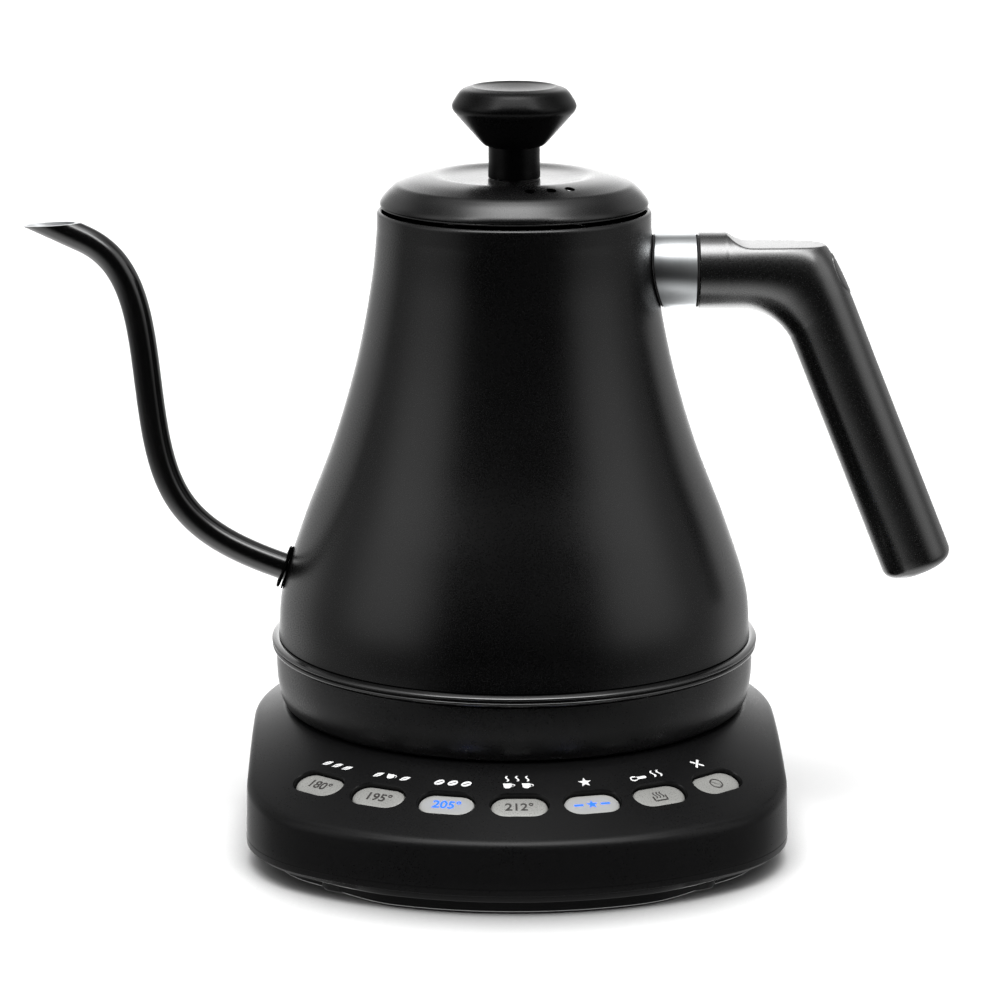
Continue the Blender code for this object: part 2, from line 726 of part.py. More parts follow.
def make_trim_ring():
    """Ring of two beads between the shell and the skirt."""
    inner = 71.0 * MM
    waist = RING_R - 0.9 * MM
    middle = (RING_TOP + RING_BOTTOM) / 2
    profile = [
        (inner, RING_TOP), (RING_R - 1.6 * MM, RING_TOP), (RING_R - 0.2 * MM, RING_TOP - 0.7 * MM),
        (RING_R, middle + 0.6 * MM), (waist, middle), (RING_R - 0.2 * MM, middle - 0.5 * MM),
        (RING_R - 0.5 * MM, RING_BOTTOM + 0.5 * MM), (RING_R - 1.4 * MM, RING_BOTTOM),
        (inner, RING_BOTTOM),
    ]
    return turned("trim_ring", profile, SATIN_BLACK, BIG_STEPS, closed=True)


def make_skirt():
    """Moulded wall below the ring, with a lip that stands on the base."""
    top = RING_BOTTOM - GAP
    outer = [
        (SKIRT_TOP_R, top), (SKIRT_TOP_R, 46.4 * MM), (74.4 * MM, 40.6 * MM),
        (73.6 * MM, 38.2 * MM), (72.7 * MM, 36.9 * MM), (SKIRT_FOOT_R, KETTLE_FOOT),
    ]
    inner = [
        (SKIRT_LIP_R, KETTLE_FOOT), (SKIRT_LIP_R, KETTLE_FOOT + 2.2 * MM),
        (SKIRT_FOOT_R - 0.4 * MM, 40.0 * MM),
        (SKIRT_TOP_R - SKIRT_WALL, 46.4 * MM), (SKIRT_TOP_R - SKIRT_WALL, top),
    ]
    return turned("skirt", outer + inner, MOULDED, BIG_STEPS, closed=True)


def make_bottom_cover():
    """Flat cover inside the skirt's lip, and the round socket at its centre."""
    low = KETTLE_FOOT + 0.7 * MM
    socket_outer = SOCKET_R + SOCKET_WALL
    cover = ring_profile(SKIRT_LIP_R - GAP, socket_outer + GAP, low + 1.8 * MM, low)
    turned("bottom_cover", cover, MOULDED, BIG_STEPS, closed=True)
    socket = [
        (0.0, POST_TOP + 4.0 * MM), (socket_outer - 1.0 * MM, POST_TOP + 4.0 * MM),
        (socket_outer, POST_TOP + 3.0 * MM), (socket_outer, low), (SOCKET_R, low),
        (SOCKET_R, POST_TOP + 1.0 * MM), (0.0, POST_TOP + 1.0 * MM),
    ]
    turned("kettle_connector", socket, MOULDED, 32)


def spout_curve(name, radius, tail):
    """The spout's centre line as a bent tube, its root moved along by tail."""
    curve = bpy.data.curves.new(name, "CURVE")
    curve.dimensions = "3D"
    curve.resolution_u = 7
    curve.bevel_depth = radius
    curve.bevel_resolution = 4
    curve.use_fill_caps = True
    root_way = Vector((-cos(SPOUT_ROOT_TILT), 0, sin(SPOUT_ROOT_TILT)))
    tip_way = Vector((-cos(SPOUT_TIP_TILT), 0, sin(SPOUT_TIP_TILT)))
    rise_way = Vector((-sin(radians(6.4)), 0, cos(radians(6.4))))
    start = SPOUT_ROOT + root_way * tail
    middle = Vector((-113.5, 0, 132.3)) * MM
    neck = Vector((-133.0, 0, 183.6)) * MM
    tip = neck + tip_way * 26 * MM
    knots = (
        (start, start - root_way * 8 * MM, start + root_way * (36 * MM - tail)),
        (middle, middle - rise_way * 29.8 * MM, middle + rise_way * 23 * MM),
        (neck, neck - tip_way * 18.4 * MM, neck + tip_way * 8 * MM),
        (tip, tip - tip_way * 8 * MM, tip + tip_way * 8 * MM),
    )
    spline = curve.splines.new("BEZIER")
    spline.bezier_points.add(len(knots) - 1)
    for point, (spot, left, right) in zip(spline.bezier_points, knots):
        point.handle_left_type = "FREE"
        point.handle_right_type = "FREE"
        point.co = spot
        point.handle_left = left
        point.handle_right = right
    return curve


def spout_seat(tilt):
    """Frame at the spout's root with Z out of the vessel, tilted up from the horizontal."""
    return Matrix.Translation(SPOUT_ROOT) @ Matrix.Rotation(-(pi / 2 - tilt), 4, "Y")


def make_spout():
    """Hollow bent tube with a level mouth, its flange and its gasket."""
    spout = mesh_of_curve(spout_curve("spout", SPOUT_R, 0.0), SATIN_BLACK)
    bore = as_cutter(mesh_of_curve(spout_curve("spout_bore", SPOUT_BORE_R, -2 * MM), STEEL, CUTTERS))
    cut(spout, bore)
    level = as_cutter(box("spout_level", (60 * MM, 30 * MM, 20 * MM),
                          Vector((-150 * MM, 0, SPOUT_CUT_Z + 10 * MM)), STEEL, where=CUTTERS))
    cut(spout, level)
    hole = SPOUT_R + 2 * GAP
    gasket = ring_profile(GASKET_R, hole, GASKET_FACE + GASKET_THICK, GASKET_FACE)
    turned("spout_gasket", gasket, RUBBER, 24, closed=True, matrix=spout_seat(GASKET_TILT))
    high = FLANGE_FACE + FLANGE_THICK
    edge = 0.25 * MM
    flange = [
        (hole, high), (FLANGE_R - edge, high), (FLANGE_R, high - edge),
        (FLANGE_R, FLANGE_FACE + edge), (FLANGE_R - edge, FLANGE_FACE), (hole, FLANGE_FACE),
    ]
    turned("spout_flange", flange, SATIN_BLACK, 24, closed=True, matrix=spout_seat(FLANGE_TILT))


def vessel_guide(name, swell):
    """A solid of the vessel's outside, grown by swell, that shapes the ferrule."""
    wall = vessel_profile(2, swell)
    profile = [(0.0, 187.0 * MM)] + wall[:8] + [(0.0, wall[7][1])]
    return as_cutter(turned(name, profile, STEEL, 64, where=CUTTERS))


def along_x(x):
    """Frame whose Z axis is the handle arm's axis, at a distance from the axis."""
    return Matrix.Translation((x, 0, ARM_Z)) @ Matrix.Rotation(pi / 2, 4, "Y")


def make_ferrule():
    """Steel sleeve between the vessel and the handle, with its two washers."""
    start = 38.0 * MM
    hole = STUD_R + GAP
    sleeve = ring_profile(FERRULE_R, FERRULE_R - 1.4 * MM, FERRULE_END - start, 0.0)
    ferrule = turned("handle_ferrule", sleeve, STEEL, 28, closed=True, matrix=along_x(start))
    cut(ferrule, vessel_guide("ferrule_seat", 0.9 * MM))
    plug = ring_profile(FERRULE_R - 0.2 * MM, hole, 18.0 * MM, 0.0)
    gasket = turned("ferrule_gasket", plug, RUBBER, 28, closed=True, matrix=along_x(start))
    cut(gasket, vessel_guide("gasket_seat", 0.2 * MM))
    cut(gasket, vessel_guide("gasket_face", 0.7 * MM), "INTERSECT")
    washer = ring_profile(FERRULE_R - 0.3 * MM, hole, 0.5 * MM, 0.0)
    turned("handle_washer", washer, RUBBER, 28, closed=True, matrix=along_x(FERRULE_END + GAP))


def make_stud_and_screw():
    """Welded stud inside the ferrule, and the screw that draws the handle onto it."""
    start = 46.6 * MM
    length = STUD_END - start
    tapped = 10.0 * MM
    bore = HANDLE_SCREW_R + GAP
    profile = [
        (bore, length), (STUD_R, length), (STUD_R, 0.0), (0.0, 0.0),
        (0.0, length - tapped), (bore, length - tapped),
    ]
    turned("handle_stud", profile, STEEL, 20, closed=True, matrix=along_x(start))
    screw = [
        (0.0, 17.0 * MM), (2.6 * MM, 17.0 * MM), (3.2 * MM, 16.4 * MM), (3.2 * MM, 14.3 * MM),
        (HANDLE_SCREW_R, 14.3 * MM), (HANDLE_SCREW_R, 1.0 * MM), (0.0, 0.0),
    ]
    turned("handle_screw", screw, STEEL, 20, matrix=along_x(STUD_END - 9.0 * MM))


def handle_stations():
    """Inner and outer edge points of the handle's sections, root to tip."""
    down = Vector((cos(GRIP_ANGLE), 0, -sin(GRIP_ANGLE)))
    across = Vector((sin(GRIP_ANGLE), 0, cos(GRIP_ANGLE)))
    arm_low = ARM_Z - ARM_R
    arm_top = ARM_Z + ARM_R
    bend_centre = Vector((BEND_X, 0, arm_low - BEND_R))
    stations = []
    for x in (HANDLE_START, 63.0 * MM, BEND_X):
        stations.append((Vector((x, 0, arm_low)), Vector((x, 0, arm_top))))
    outer_line = Vector((104.6, 0, 166.2)) * MM
    fan = (
        (0.17, Vector((79.0 * MM, 0, arm_top))), (0.34, Vector((87.5 * MM, 0, arm_top - 0.4 * MM))),
        (0.5, Vector((94.6 * MM, 0, arm_top - 2.2 * MM))), (0.66, Vector((98.8 * MM, 0, 178.2 * MM))),
        (0.83, Vector((101.7 * MM, 0, 172.8 * MM))), (1.0, outer_line),
    )
    for share, outer in fan:
        turn = GRIP_ANGLE * share
        inner = bend_centre + BEND_R * Vector((sin(turn), 0, cos(turn)))
        stations.append((inner, outer))
    inner_start = bend_centre + BEND_R * Vector((sin(GRIP_ANGLE), 0, cos(GRIP_ANGLE)))
    reach = (inner_start.z - GRIP_END_Z + 3.5 * MM) / sin(GRIP_ANGLE)
    for share in (0.25, 0.5, 0.75, 0.96):
        inner = inner_start + down * reach * share
        stations.append((inner, inner + across * GRIP_WIDTH))
    for ahead, inset in ((0.985, 0.8 * MM), (1.0, 3.4 * MM)):
        inner = inner_start + down * reach * ahead
        stations.append((inner + across * inset, inner + across * (GRIP_WIDTH - inset)))
    return stations


def handle_section(inner, outer, depth, square, steps=24):
    """A rounded section between two edge points; square above 2 flattens its sides."""
    centre = (inner + outer) / 2
    reach = (outer - inner) / 2
    ring = []
    for step in range(steps):
        angle = 2 * pi * step / steps
        c, s = cos(angle), sin(angle)
        u = abs(c) ** (2 / square) * (1 if c >= 0 else -1)
        v = abs(s) ** (2 / square) * (1 if s >= 0 else -1)
        ring.append(centre + reach * u + Vector((0, depth * v, 0)))
    return ring


def make_handle():
    """The grip, with a thumb flat, a screw passage and a pocket for the inlay."""
    rings = []
    stations = handle_stations()
    for index, (inner, outer) in enumerate(stations):
        along = min(1.0, index / 8)
        depth = ARM_R + (GRIP_DEPTH - ARM_R) * along
        if index >= len(stations) - 2:
            depth -= (0.8 if index == len(stations) - 2 else 3.4) * MM
        rings.append(handle_section(inner, outer, depth, 2.0 + 0.5 * along))
    handle = loft("handle", rings, MOULDED)
    cut(handle, thumb_cutter())
    shank = HANDLE_SCREW_R + GAP
    step = STUD_END + 5.0 * MM
    stop = STUD_END + 0.4 * MM
    passage = [
        (0.0, 112.0 * MM), (3.6 * MM, 112.0 * MM), (3.6 * MM, step), (shank, step),
        (shank, stop), (STUD_R + GAP, stop), (STUD_R + GAP, 50.0 * MM), (0.0, 50.0 * MM),
    ]
    drill = turned("handle_passage", passage, STEEL, 20, matrix=along_x(0.0), where=CUTTERS)
    cut(handle, as_cutter(drill))
    cut(handle, inlay_mesh("inlay_pocket", GAP, CUTTERS, -2.6 * MM, 8.0 * MM))
    return handle


def thumb_cutter():
    """What is taken off the arm's top: a level cut that a short ramp leads into."""
    start = 65.6 * MM
    ramp = 7.6 * MM
    drop = ARM_Z + ARM_R - THUMB_FLAT_Z
    outline = [(start - 0.5 * MM, ARM_Z + ARM_R + 0.3 * MM)]
    for step in range(1, 6):
        t = step / 5
        outline.append((start + ramp * t, THUMB_FLAT_Z + drop * (1 - t) ** 2))
    outline += [(120 * MM, THUMB_FLAT_Z), (120 * MM, ARM_Z + ARM_R + 12 * MM),
                (start - 0.5 * MM, ARM_Z + ARM_R + 12 * MM)]
    slab = flat_prism("thumb_cut", outline, -20 * MM, 20 * MM, STEEL, CUTTERS)
    slab.matrix_world = Matrix.Rotation(pi / 2, 4, "X")
    return as_cutter(slab)


def inlay_frame():
    """Frame on the handle's outer corner: Z out of it, Y up along it."""
    high = Vector((98.5, 0, 178.6)) * MM
    low = Vector((104.6, 0, 166.2)) * MM
    up = (high - low).normalized()
    side = Vector((0, 1, 0))
    out = side.cross(up)
    if out.x < 0:
        out = -out
    frame = Matrix((up.cross(out), up, out)).transposed().to_4x4()
    return Matrix.Translation((high + low) / 2) @ frame


def inlay_mesh(name, grow, where, low, high):
    """The inlay's oval as a plate between two depths, in the inlay's frame."""
    half_w = 4.6 * MM + grow
    half_l = 6.6 * MM + grow
    outline = [(half_w * cos(2 * pi * i / 24), half_l * sin(2 * pi * i / 24)) for i in range(24)]
    plate = flat_prism(name, outline, low, high, MOULDED, where)
    plate.matrix_world = inlay_frame()
    return as_cutter(plate) if where is CUTTERS else plate


def make_kettle():
    """Everything that lifts off the base with the handle."""
    make_vessel()
    make_vessel_floor()
    make_trim_ring()
    make_skirt()
    make_bottom_cover()
    make_spout()
    make_ferrule()
    make_stud_and_screw()
    make_handle()
    inlay_mesh("handle_inlay", 0.0, PARTS, -2.3 * MM, -0.2 * MM)


# ------------------------------------------------------------------- lid

def make_lid_cover():
    """Domed cover: a dished centre, a soft crest, a shoulder and a rim."""
    hole = 2.2 * MM
    dome = [
        (STEM_R + 0.4 * MM, LID_RECESS_Z), (20.0 * MM, 202.7 * MM), (24.5 * MM, 203.7 * MM),
        (30.5 * MM, 202.8 * MM), (36.3 * MM, 200.7 * MM), (38.9 * MM, 198.6 * MM),
        (41.2 * MM, 195.8 * MM), (LID_R, 194.3 * MM), (LID_R - 0.5 * MM, LID_RIM),
    ]
    under = [
        (LID_R - 1.7 * MM, LID_RIM), (LID_R - 1.9 * MM, 195.2 * MM), (35.7 * MM, 199.8 * MM),
        (30.3 * MM, 201.8 * MM), (24.3 * MM, 202.7 * MM), (STEM_R, LID_RECESS_Z - LID_SHEET),
    ]
    profile = [(hole, LID_RECESS_Z)] + dome + under + [(hole, LID_RECESS_Z - LID_SHEET)]
    cover = turned("lid_cover", profile, POWDER, BIG_STEPS, closed=True)
    vents = []
    for degrees in VENT_ANGLES:
        angle = radians(degrees)
        spot = Vector((VENT_RING_R * sin(angle), -VENT_RING_R * cos(angle), 0))
        vents.append(rod_mesh(VENT_R, spot, 198.0 * MM, 208.0 * MM, 12))
    cut(cover, join_meshes("vent_cuts", vents, CUTTERS))
    return cover


def make_lid():
    """The lid's cover, inner pan, seal, stem, knob and the screw through them."""
    make_lid_cover()
    sheet = LID_SHEET
    pan = [
        (PLUG_R, 192.4 * MM), (PLUG_R, PLUG_FLOOR + 1.0 * MM), (PLUG_R - 1.0 * MM, PLUG_FLOOR),
        (0.0, PLUG_FLOOR), (0.0, PLUG_FLOOR + sheet), (PLUG_R - 1.2 * MM, PLUG_FLOOR + sheet),
        (PLUG_R - sheet, PLUG_FLOOR + 1.3 * MM), (PLUG_R - sheet, 192.4 * MM),
    ]
    turned("lid_plate", pan, STEEL, BIG_STEPS, closed=True)
    seal = [
        (PLUG_R + GAP, 189.0 * MM), (PLUG_R + 2.2 * MM, 187.4 * MM),
        (PLUG_R + 1.2 * MM, 184.6 * MM), (PLUG_R + GAP, 184.4 * MM),
    ]
    turned("lid_seal", seal, SILICONE, BIG_STEPS, closed=True)
    bore = 2.2 * MM
    foot = LID_RECESS_Z + GAP
    stem = [
        (bore, STEM_TOP), (STEM_R, STEM_TOP), (STEM_R, foot + 1.2 * MM),
        (STEM_R + 0.2 * MM, foot), (bore, foot),
    ]
    turned("knob_stem", stem, MOULDED, 32, closed=True)
    make_knob(bore)
    head = LID_RECESS_Z - sheet - GAP
    screw = [
        (0.0, 221.0 * MM), (1.7 * MM, 220.0 * MM), (1.7 * MM, head), (4.0 * MM, head),
        (4.0 * MM, head - 1.6 * MM), (3.2 * MM, head - 2.4 * MM), (0.0, head - 2.4 * MM),
    ]
    turned("knob_screw", screw, STEEL, 20)


def make_knob(bore):
    """Double-cone knob with a dished top and a blind hole for the screw."""
    foot = STEM_TOP + GAP
    profile = [
        (0.0, KNOB_TOP - 1.9 * MM), (6.0 * MM, KNOB_TOP - 1.5 * MM), (11.0 * MM, KNOB_TOP - 0.5 * MM),
        (12.9 * MM, KNOB_TOP), (15.9 * MM, KNOB_TOP - 1.0 * MM), (16.9 * MM, KNOB_TOP - 2.1 * MM),
        (KNOB_R - 0.3 * MM, 225.7 * MM), (KNOB_R, 224.4 * MM), (KNOB_R - 0.6 * MM, 223.2 * MM),
        (9.9 * MM, 213.2 * MM), (9.1 * MM, foot), (bore, foot), (bore, 222.0 * MM), (0.0, 222.0 * MM),
    ]
    return turned("knob", profile, MOULDED, 24)


clear_scene()
PARTS = make_collection("gooseneck_kettle")
CUTTERS = make_collection("cutters")
make_base()
make_kettle()
make_lid()
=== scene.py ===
"""Looks of the gooseneck kettle: finely shaped pieces, finishes, studio and camera.

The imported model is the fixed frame. Each piece built here stands for CAD nodes and
rides on their body; every other CAD node stays and gets a procedural finish.
Shapes are worked out in millimetres, in the frame's own axes, and mesh_object turns
them into metres: the handle is along +X, the spout along -X, and the control panel
faces -Y.
"""

from math import acos, atan2, cos, hypot, pi, radians, sin, sqrt, tan

import bmesh
import bpy
from mathutils import Matrix, Vector
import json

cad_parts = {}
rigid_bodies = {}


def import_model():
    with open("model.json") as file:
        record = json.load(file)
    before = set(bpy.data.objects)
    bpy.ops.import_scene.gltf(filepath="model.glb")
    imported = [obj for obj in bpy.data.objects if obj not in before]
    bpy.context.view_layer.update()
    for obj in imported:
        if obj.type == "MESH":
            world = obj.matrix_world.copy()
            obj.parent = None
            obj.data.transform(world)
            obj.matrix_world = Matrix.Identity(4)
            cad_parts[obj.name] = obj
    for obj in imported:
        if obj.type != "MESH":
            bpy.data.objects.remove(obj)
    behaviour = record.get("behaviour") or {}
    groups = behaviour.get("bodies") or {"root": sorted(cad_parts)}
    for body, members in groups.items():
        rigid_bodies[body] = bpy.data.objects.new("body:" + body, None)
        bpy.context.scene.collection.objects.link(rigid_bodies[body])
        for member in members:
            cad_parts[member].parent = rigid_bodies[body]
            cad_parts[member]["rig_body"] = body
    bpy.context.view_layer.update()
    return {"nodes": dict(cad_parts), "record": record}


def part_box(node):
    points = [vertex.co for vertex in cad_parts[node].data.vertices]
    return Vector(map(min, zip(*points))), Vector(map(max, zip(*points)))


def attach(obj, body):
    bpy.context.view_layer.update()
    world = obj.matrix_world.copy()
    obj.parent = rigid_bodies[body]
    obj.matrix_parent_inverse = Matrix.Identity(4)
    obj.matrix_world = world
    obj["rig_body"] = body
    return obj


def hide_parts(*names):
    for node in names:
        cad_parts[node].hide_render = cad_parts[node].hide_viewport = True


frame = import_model()
NODES = frame["nodes"]
SLOT_OF = {part["node"]: part["material_slot"] for part in frame["record"]["subparts"]}

MM = 0.001                        # a millimetre in metres
ROUND = 144                       # steps round a turned piece
HAIR = 0.15                       # rounding of a crisp edge
SHARP_ANGLE = radians(32)


def top(node):
    """Highest height of a CAD node."""
    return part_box(node)[1].z / MM


def foot(node):
    """Lowest height of a CAD node."""
    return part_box(node)[0].z / MM


def reach(node):
    """Furthest place of a CAD node along +X."""
    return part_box(node)[1].x / MM


# Vessel
VESSEL_TOP = top("vessel")
VESSEL_FOOT = foot("vessel")
MOUTH_R = 40.9
NECK_R = 42.5
VESSEL_WALL = 1.0
VESSEL_ANCHORS = (                # (radius, height) down the outer wall
    (42.5, 187.0), (44.2, 170.6), (49.0, 145.5), (56.4, 120.0),
    (66.1, 94.6), (72.9, 73.5), (74.4, 58.1),
)

# Lid vents
VENT_R = 1.6
VENT_RING_R = 30.5
VENT_Z = 202.8
VENT_ANGLES = (8.0, 20.5, 32.5)   # degrees from the front, towards the handle

# Spout
SPOUT_R = 4.3
SPOUT_BORE_R = 3.5
SPOUT_MOUTH_Z = top("spout")
SPOUT_ROOT = Vector((-71.3, 0.0, 78.6))
SPOUT_ROOT_TILT = radians(19.5)
SPOUT_TIP_TILT = radians(25.0)
SPOUT_RISE_TILT = radians(6.4)
MOUTH_TILT = radians(3.0)

# Handle
ARM_Z = (top("handle_ferrule") + foot("handle_ferrule")) / 2
ARM_R = 11.9
FERRULE_R = 11.7
FERRULE_END = reach("handle_ferrule")
HANDLE_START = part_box("handle")[0].x / MM
THUMB_FLAT_Z = 181.3
THUMB_START = 65.6
THUMB_RAMP = 7.6
GRIP_ANGLE = radians(68.0)
GRIP_END_Z = foot("handle")
GRIP_END_ROUND = 3.5
GRIP_WIDTH = 22.4
GRIP_DEPTH = 11.4
BEND_R = 18.0
BEND_X = 70.2
INLAY_HIGH = Vector((98.5, 0.0, 178.6))
INLAY_LOW = Vector((104.6, 0.0, 166.2))
INLAY_HALF_W = 6.0
INLAY_HALF_L = 7.0

# Base
BASE_HALF_W = 83.0
FRONT_R = 108.5
CORNER_R = 44.6
SEAM_Z = (foot("base_housing") + top("base_pan")) / 2
SEAM_GAP = foot("base_housing") - top("base_pan")
SEAT_Z = top("base_housing")
SEAT_R = 73.0
PANEL_SLOPE = radians(22.0)
CREST_ROUND = 2.8
HOUSING_WALL = 2.5
OUTLINE_STEPS = 288
PAN_FLOOR = 5.8
CORD_Z = 17.0
SCREW_SPOTS = ((62, 34), (-62, 34), (66, -38), (-66, -38))
FOOT_SPOTS = ((47, 52.4), (-47, 52.4), (51.6, -82.6), (-51.6, -82.6))

# Buttons and their printed marks
BUTTON_COUNT = 7
BUTTON_PITCH = radians(13.86)
BUTTON_RING_R = 90.6
LABEL_RING_R = 82.2
WELL_LENGTH = 17.6
WELL_WIDTH = 10.0
BUTTON_RECESS = 1.4
BUTTON_GAP = 0.3
LIT_BUTTONS = (3, 5)
PRINT_THICK = 0.03
LABEL_SIZE = 1.25


# ------------------------------------------------------------- mesh helpers

def mesh_object(name, verts, faces, second=()):
    """A smooth object from points and faces; faces numbered in second use slot 1."""
    mesh = bpy.data.meshes.new(name)
    mesh.from_pydata([tuple(Vector(v) * MM) for v in verts], [], faces)
    for index in second:
        mesh.polygons[index].material_index = 1
    shape = bmesh.new()
    shape.from_mesh(mesh)
    bmesh.ops.remove_doubles(shape, verts=shape.verts, dist=1e-7)
    bmesh.ops.recalc_face_normals(shape, faces=shape.faces)
    shape.to_mesh(mesh)
    shape.free()
    smooth(mesh)
    thing = bpy.data.objects.new(name, mesh)
    bpy.context.scene.collection.objects.link(thing)
    return thing


def smooth(mesh):
    """Shade a mesh smoothly, except across its sharp edges."""
    mesh.shade_smooth()
    mesh.set_sharp_from_angle(angle=SHARP_ANGLE)


def turns(steps):
    """Angles evenly spaced round a full turn."""
    return [2 * pi * step / steps for step in range(steps)]


def placed(x, y, z, angle=0.0, axis="Z"):
    """A place, turned about an axis."""
    return Matrix.Translation((x, y, z)) @ Matrix.Rotation(angle, 4, axis)


def loft(name, rings, closed=False, second=(), caps=True):
    """Skin rings of equal point counts; strips numbered in second use slot 1."""
    count = len(rings[0])
    verts = [point for ring in rings for point in ring]
    faces = []
    marked = []
    strips = len(rings) if closed else len(rings) - 1
    for strip in range(strips):
        low = strip * count
        high = (strip + 1) % len(rings) * count
        for i in range(count):
            j = (i + 1) % count
            if strip in second:
                marked.append(len(faces))
            faces.append((low + i, low + j, high + j, high + i))
    if caps and not closed:
        last = (len(rings) - 1) * count
        faces.append(tuple(reversed(range(count))))
        faces.append(tuple(last + i for i in range(count)))
    return mesh_object(name, verts, faces, marked)


def turned(name, outline, closed=False, steps=ROUND, matrix=None, second=()):
    """Turn an outline of (radius, height) about an axis; strips in second use slot 1."""
    place = matrix or Matrix.Identity(4)
    rings = []
    for radius, height in outline:
        rings.append([place @ Vector((radius * cos(a), radius * sin(a), height)) for a in turns(steps)])
    return loft(name, rings, closed, second, caps=False)


def eased(corners, closed=False, arc_steps=5):
    """Outline from (radius, height, rounding) corners, with each corner rounded."""
    points = []
    count = len(corners)
    for i, (radius, height, rounding) in enumerate(corners):
        here = Vector((radius, height))
        at_end = not closed and i in (0, count - 1)
        if at_end or not rounding:
            points.append(here)
            continue
        back = Vector(corners[i - 1][:2]) - here
        ahead = Vector(corners[(i + 1) % count][:2]) - here
        start = here + back.normalized() * min(rounding, back.length * 0.48)
        stop = here + ahead.normalized() * min(rounding, ahead.length * 0.48)
        for step in range(arc_steps + 1):
            t = step / arc_steps
            points.append(start * (1 - t) ** 2 + here * 2 * t * (1 - t) + stop * t ** 2)
    return points


def flowing(anchors, per_span):
    """Points on a Catmull-Rom curve through the anchors."""
    points = [Vector(a) for a in anchors]
    ends = [2 * points[0] - points[1]] + points + [2 * points[-1] - points[-2]]
    path = []
    for before, start, stop, after in zip(ends, ends[1:], ends[2:], ends[3:]):
        for step in range(per_span):
            t = step / per_span
            path.append(0.5 * (
                2 * start + (stop - before) * t
                + (2 * before - 5 * start + 4 * stop - after) * t ** 2
                + (3 * start - before - 3 * stop + after) * t ** 3))
    return path + [points[-1]]


def pill(length, width, steps=14):
    """Outline of a pill: two half circles joined by straight sides."""
    radius = width / 2
    straight = length / 2 - radius
    outline = []
    for side in (1, -1):
        for step in range(steps + 1):
            angle = -pi / 2 + pi * step / steps
            outline.append((side * (straight + radius * cos(angle)), side * radius * sin(angle)))
    return outline


def pill_layers(name, layers, matrix):
    """A closed piece through pill outlines of (length, width, height)."""
    rings = []
    for length, width, height in layers:
        rings.append([matrix @ Vector((x, y, height)) for x, y in pill(length, width)])
    return loft(name, rings)


def carve(thing, cutters):
    """Cut closed shapes out of a piece for good, and drop the shapes."""
    guide = cutters[0]
    joined = bmesh.new()
    for cutter in cutters:
        joined.from_mesh(cutter.data)
    mesh = bpy.data.meshes.new("guide")
    joined.to_mesh(mesh)
    joined.free()
    guide.data = mesh
    for polygon in mesh.polygons:
        polygon.material_index = len(thing.data.materials) - 1 if thing.data.materials else 0
    boolean = thing.modifiers.new("Carve", "BOOLEAN")
    boolean.operation = "DIFFERENCE"
    boolean.solver = "EXACT"
    boolean.object = guide
    bake_modifiers(thing)
    for cutter in cutters:
        bpy.data.objects.remove(cutter, do_unlink=True)
    return thing


def bake_modifiers(thing):
    """Replace a piece's mesh by what its modifiers make of it."""
    bpy.context.view_layer.update()
    evaluated = thing.evaluated_get(bpy.context.evaluated_depsgraph_get())
    mesh = bpy.data.meshes.new_from_object(evaluated)
    thing.modifiers.clear()
    thing.data = mesh
    smooth(mesh)


def stand_for(piece, *nodes, finishes=None):
    """Let a piece stand for CAD nodes: on their body, in their finish."""
    slot = SLOT_OF[nodes[0]]
    names = finishes or (slot,)
    faces = piece.data.polygons
    chosen = [min(face.material_index, len(names) - 1) for face in faces]
    piece.data.materials.clear()
    for name in names:
        piece.data.materials.append(FINISHES[name])
    faces.foreach_set("material_index", chosen)
    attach(piece, NODES[nodes[0]]["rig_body"])
    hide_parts(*nodes)
    return piece


# ---------------------------------------------------------------- finishes

def add_node(tree, kind, feeds, **settings):
    """A shader node with its settings, and its inputs linked or given a value."""
    node = tree.nodes.new("ShaderNode" + kind)
    for name, value in settings.items():
        setattr(node, name, value)
    for socket, value in feeds.items():
        feed_socket(tree, node.inputs[socket], value)
    return node


def feed_socket(tree, socket, value):
    """Link an output to an input, or give the input a value."""
    if isinstance(value, bpy.types.NodeSocket):
        tree.links.new(value, socket)
    else:
        socket.default_value = value


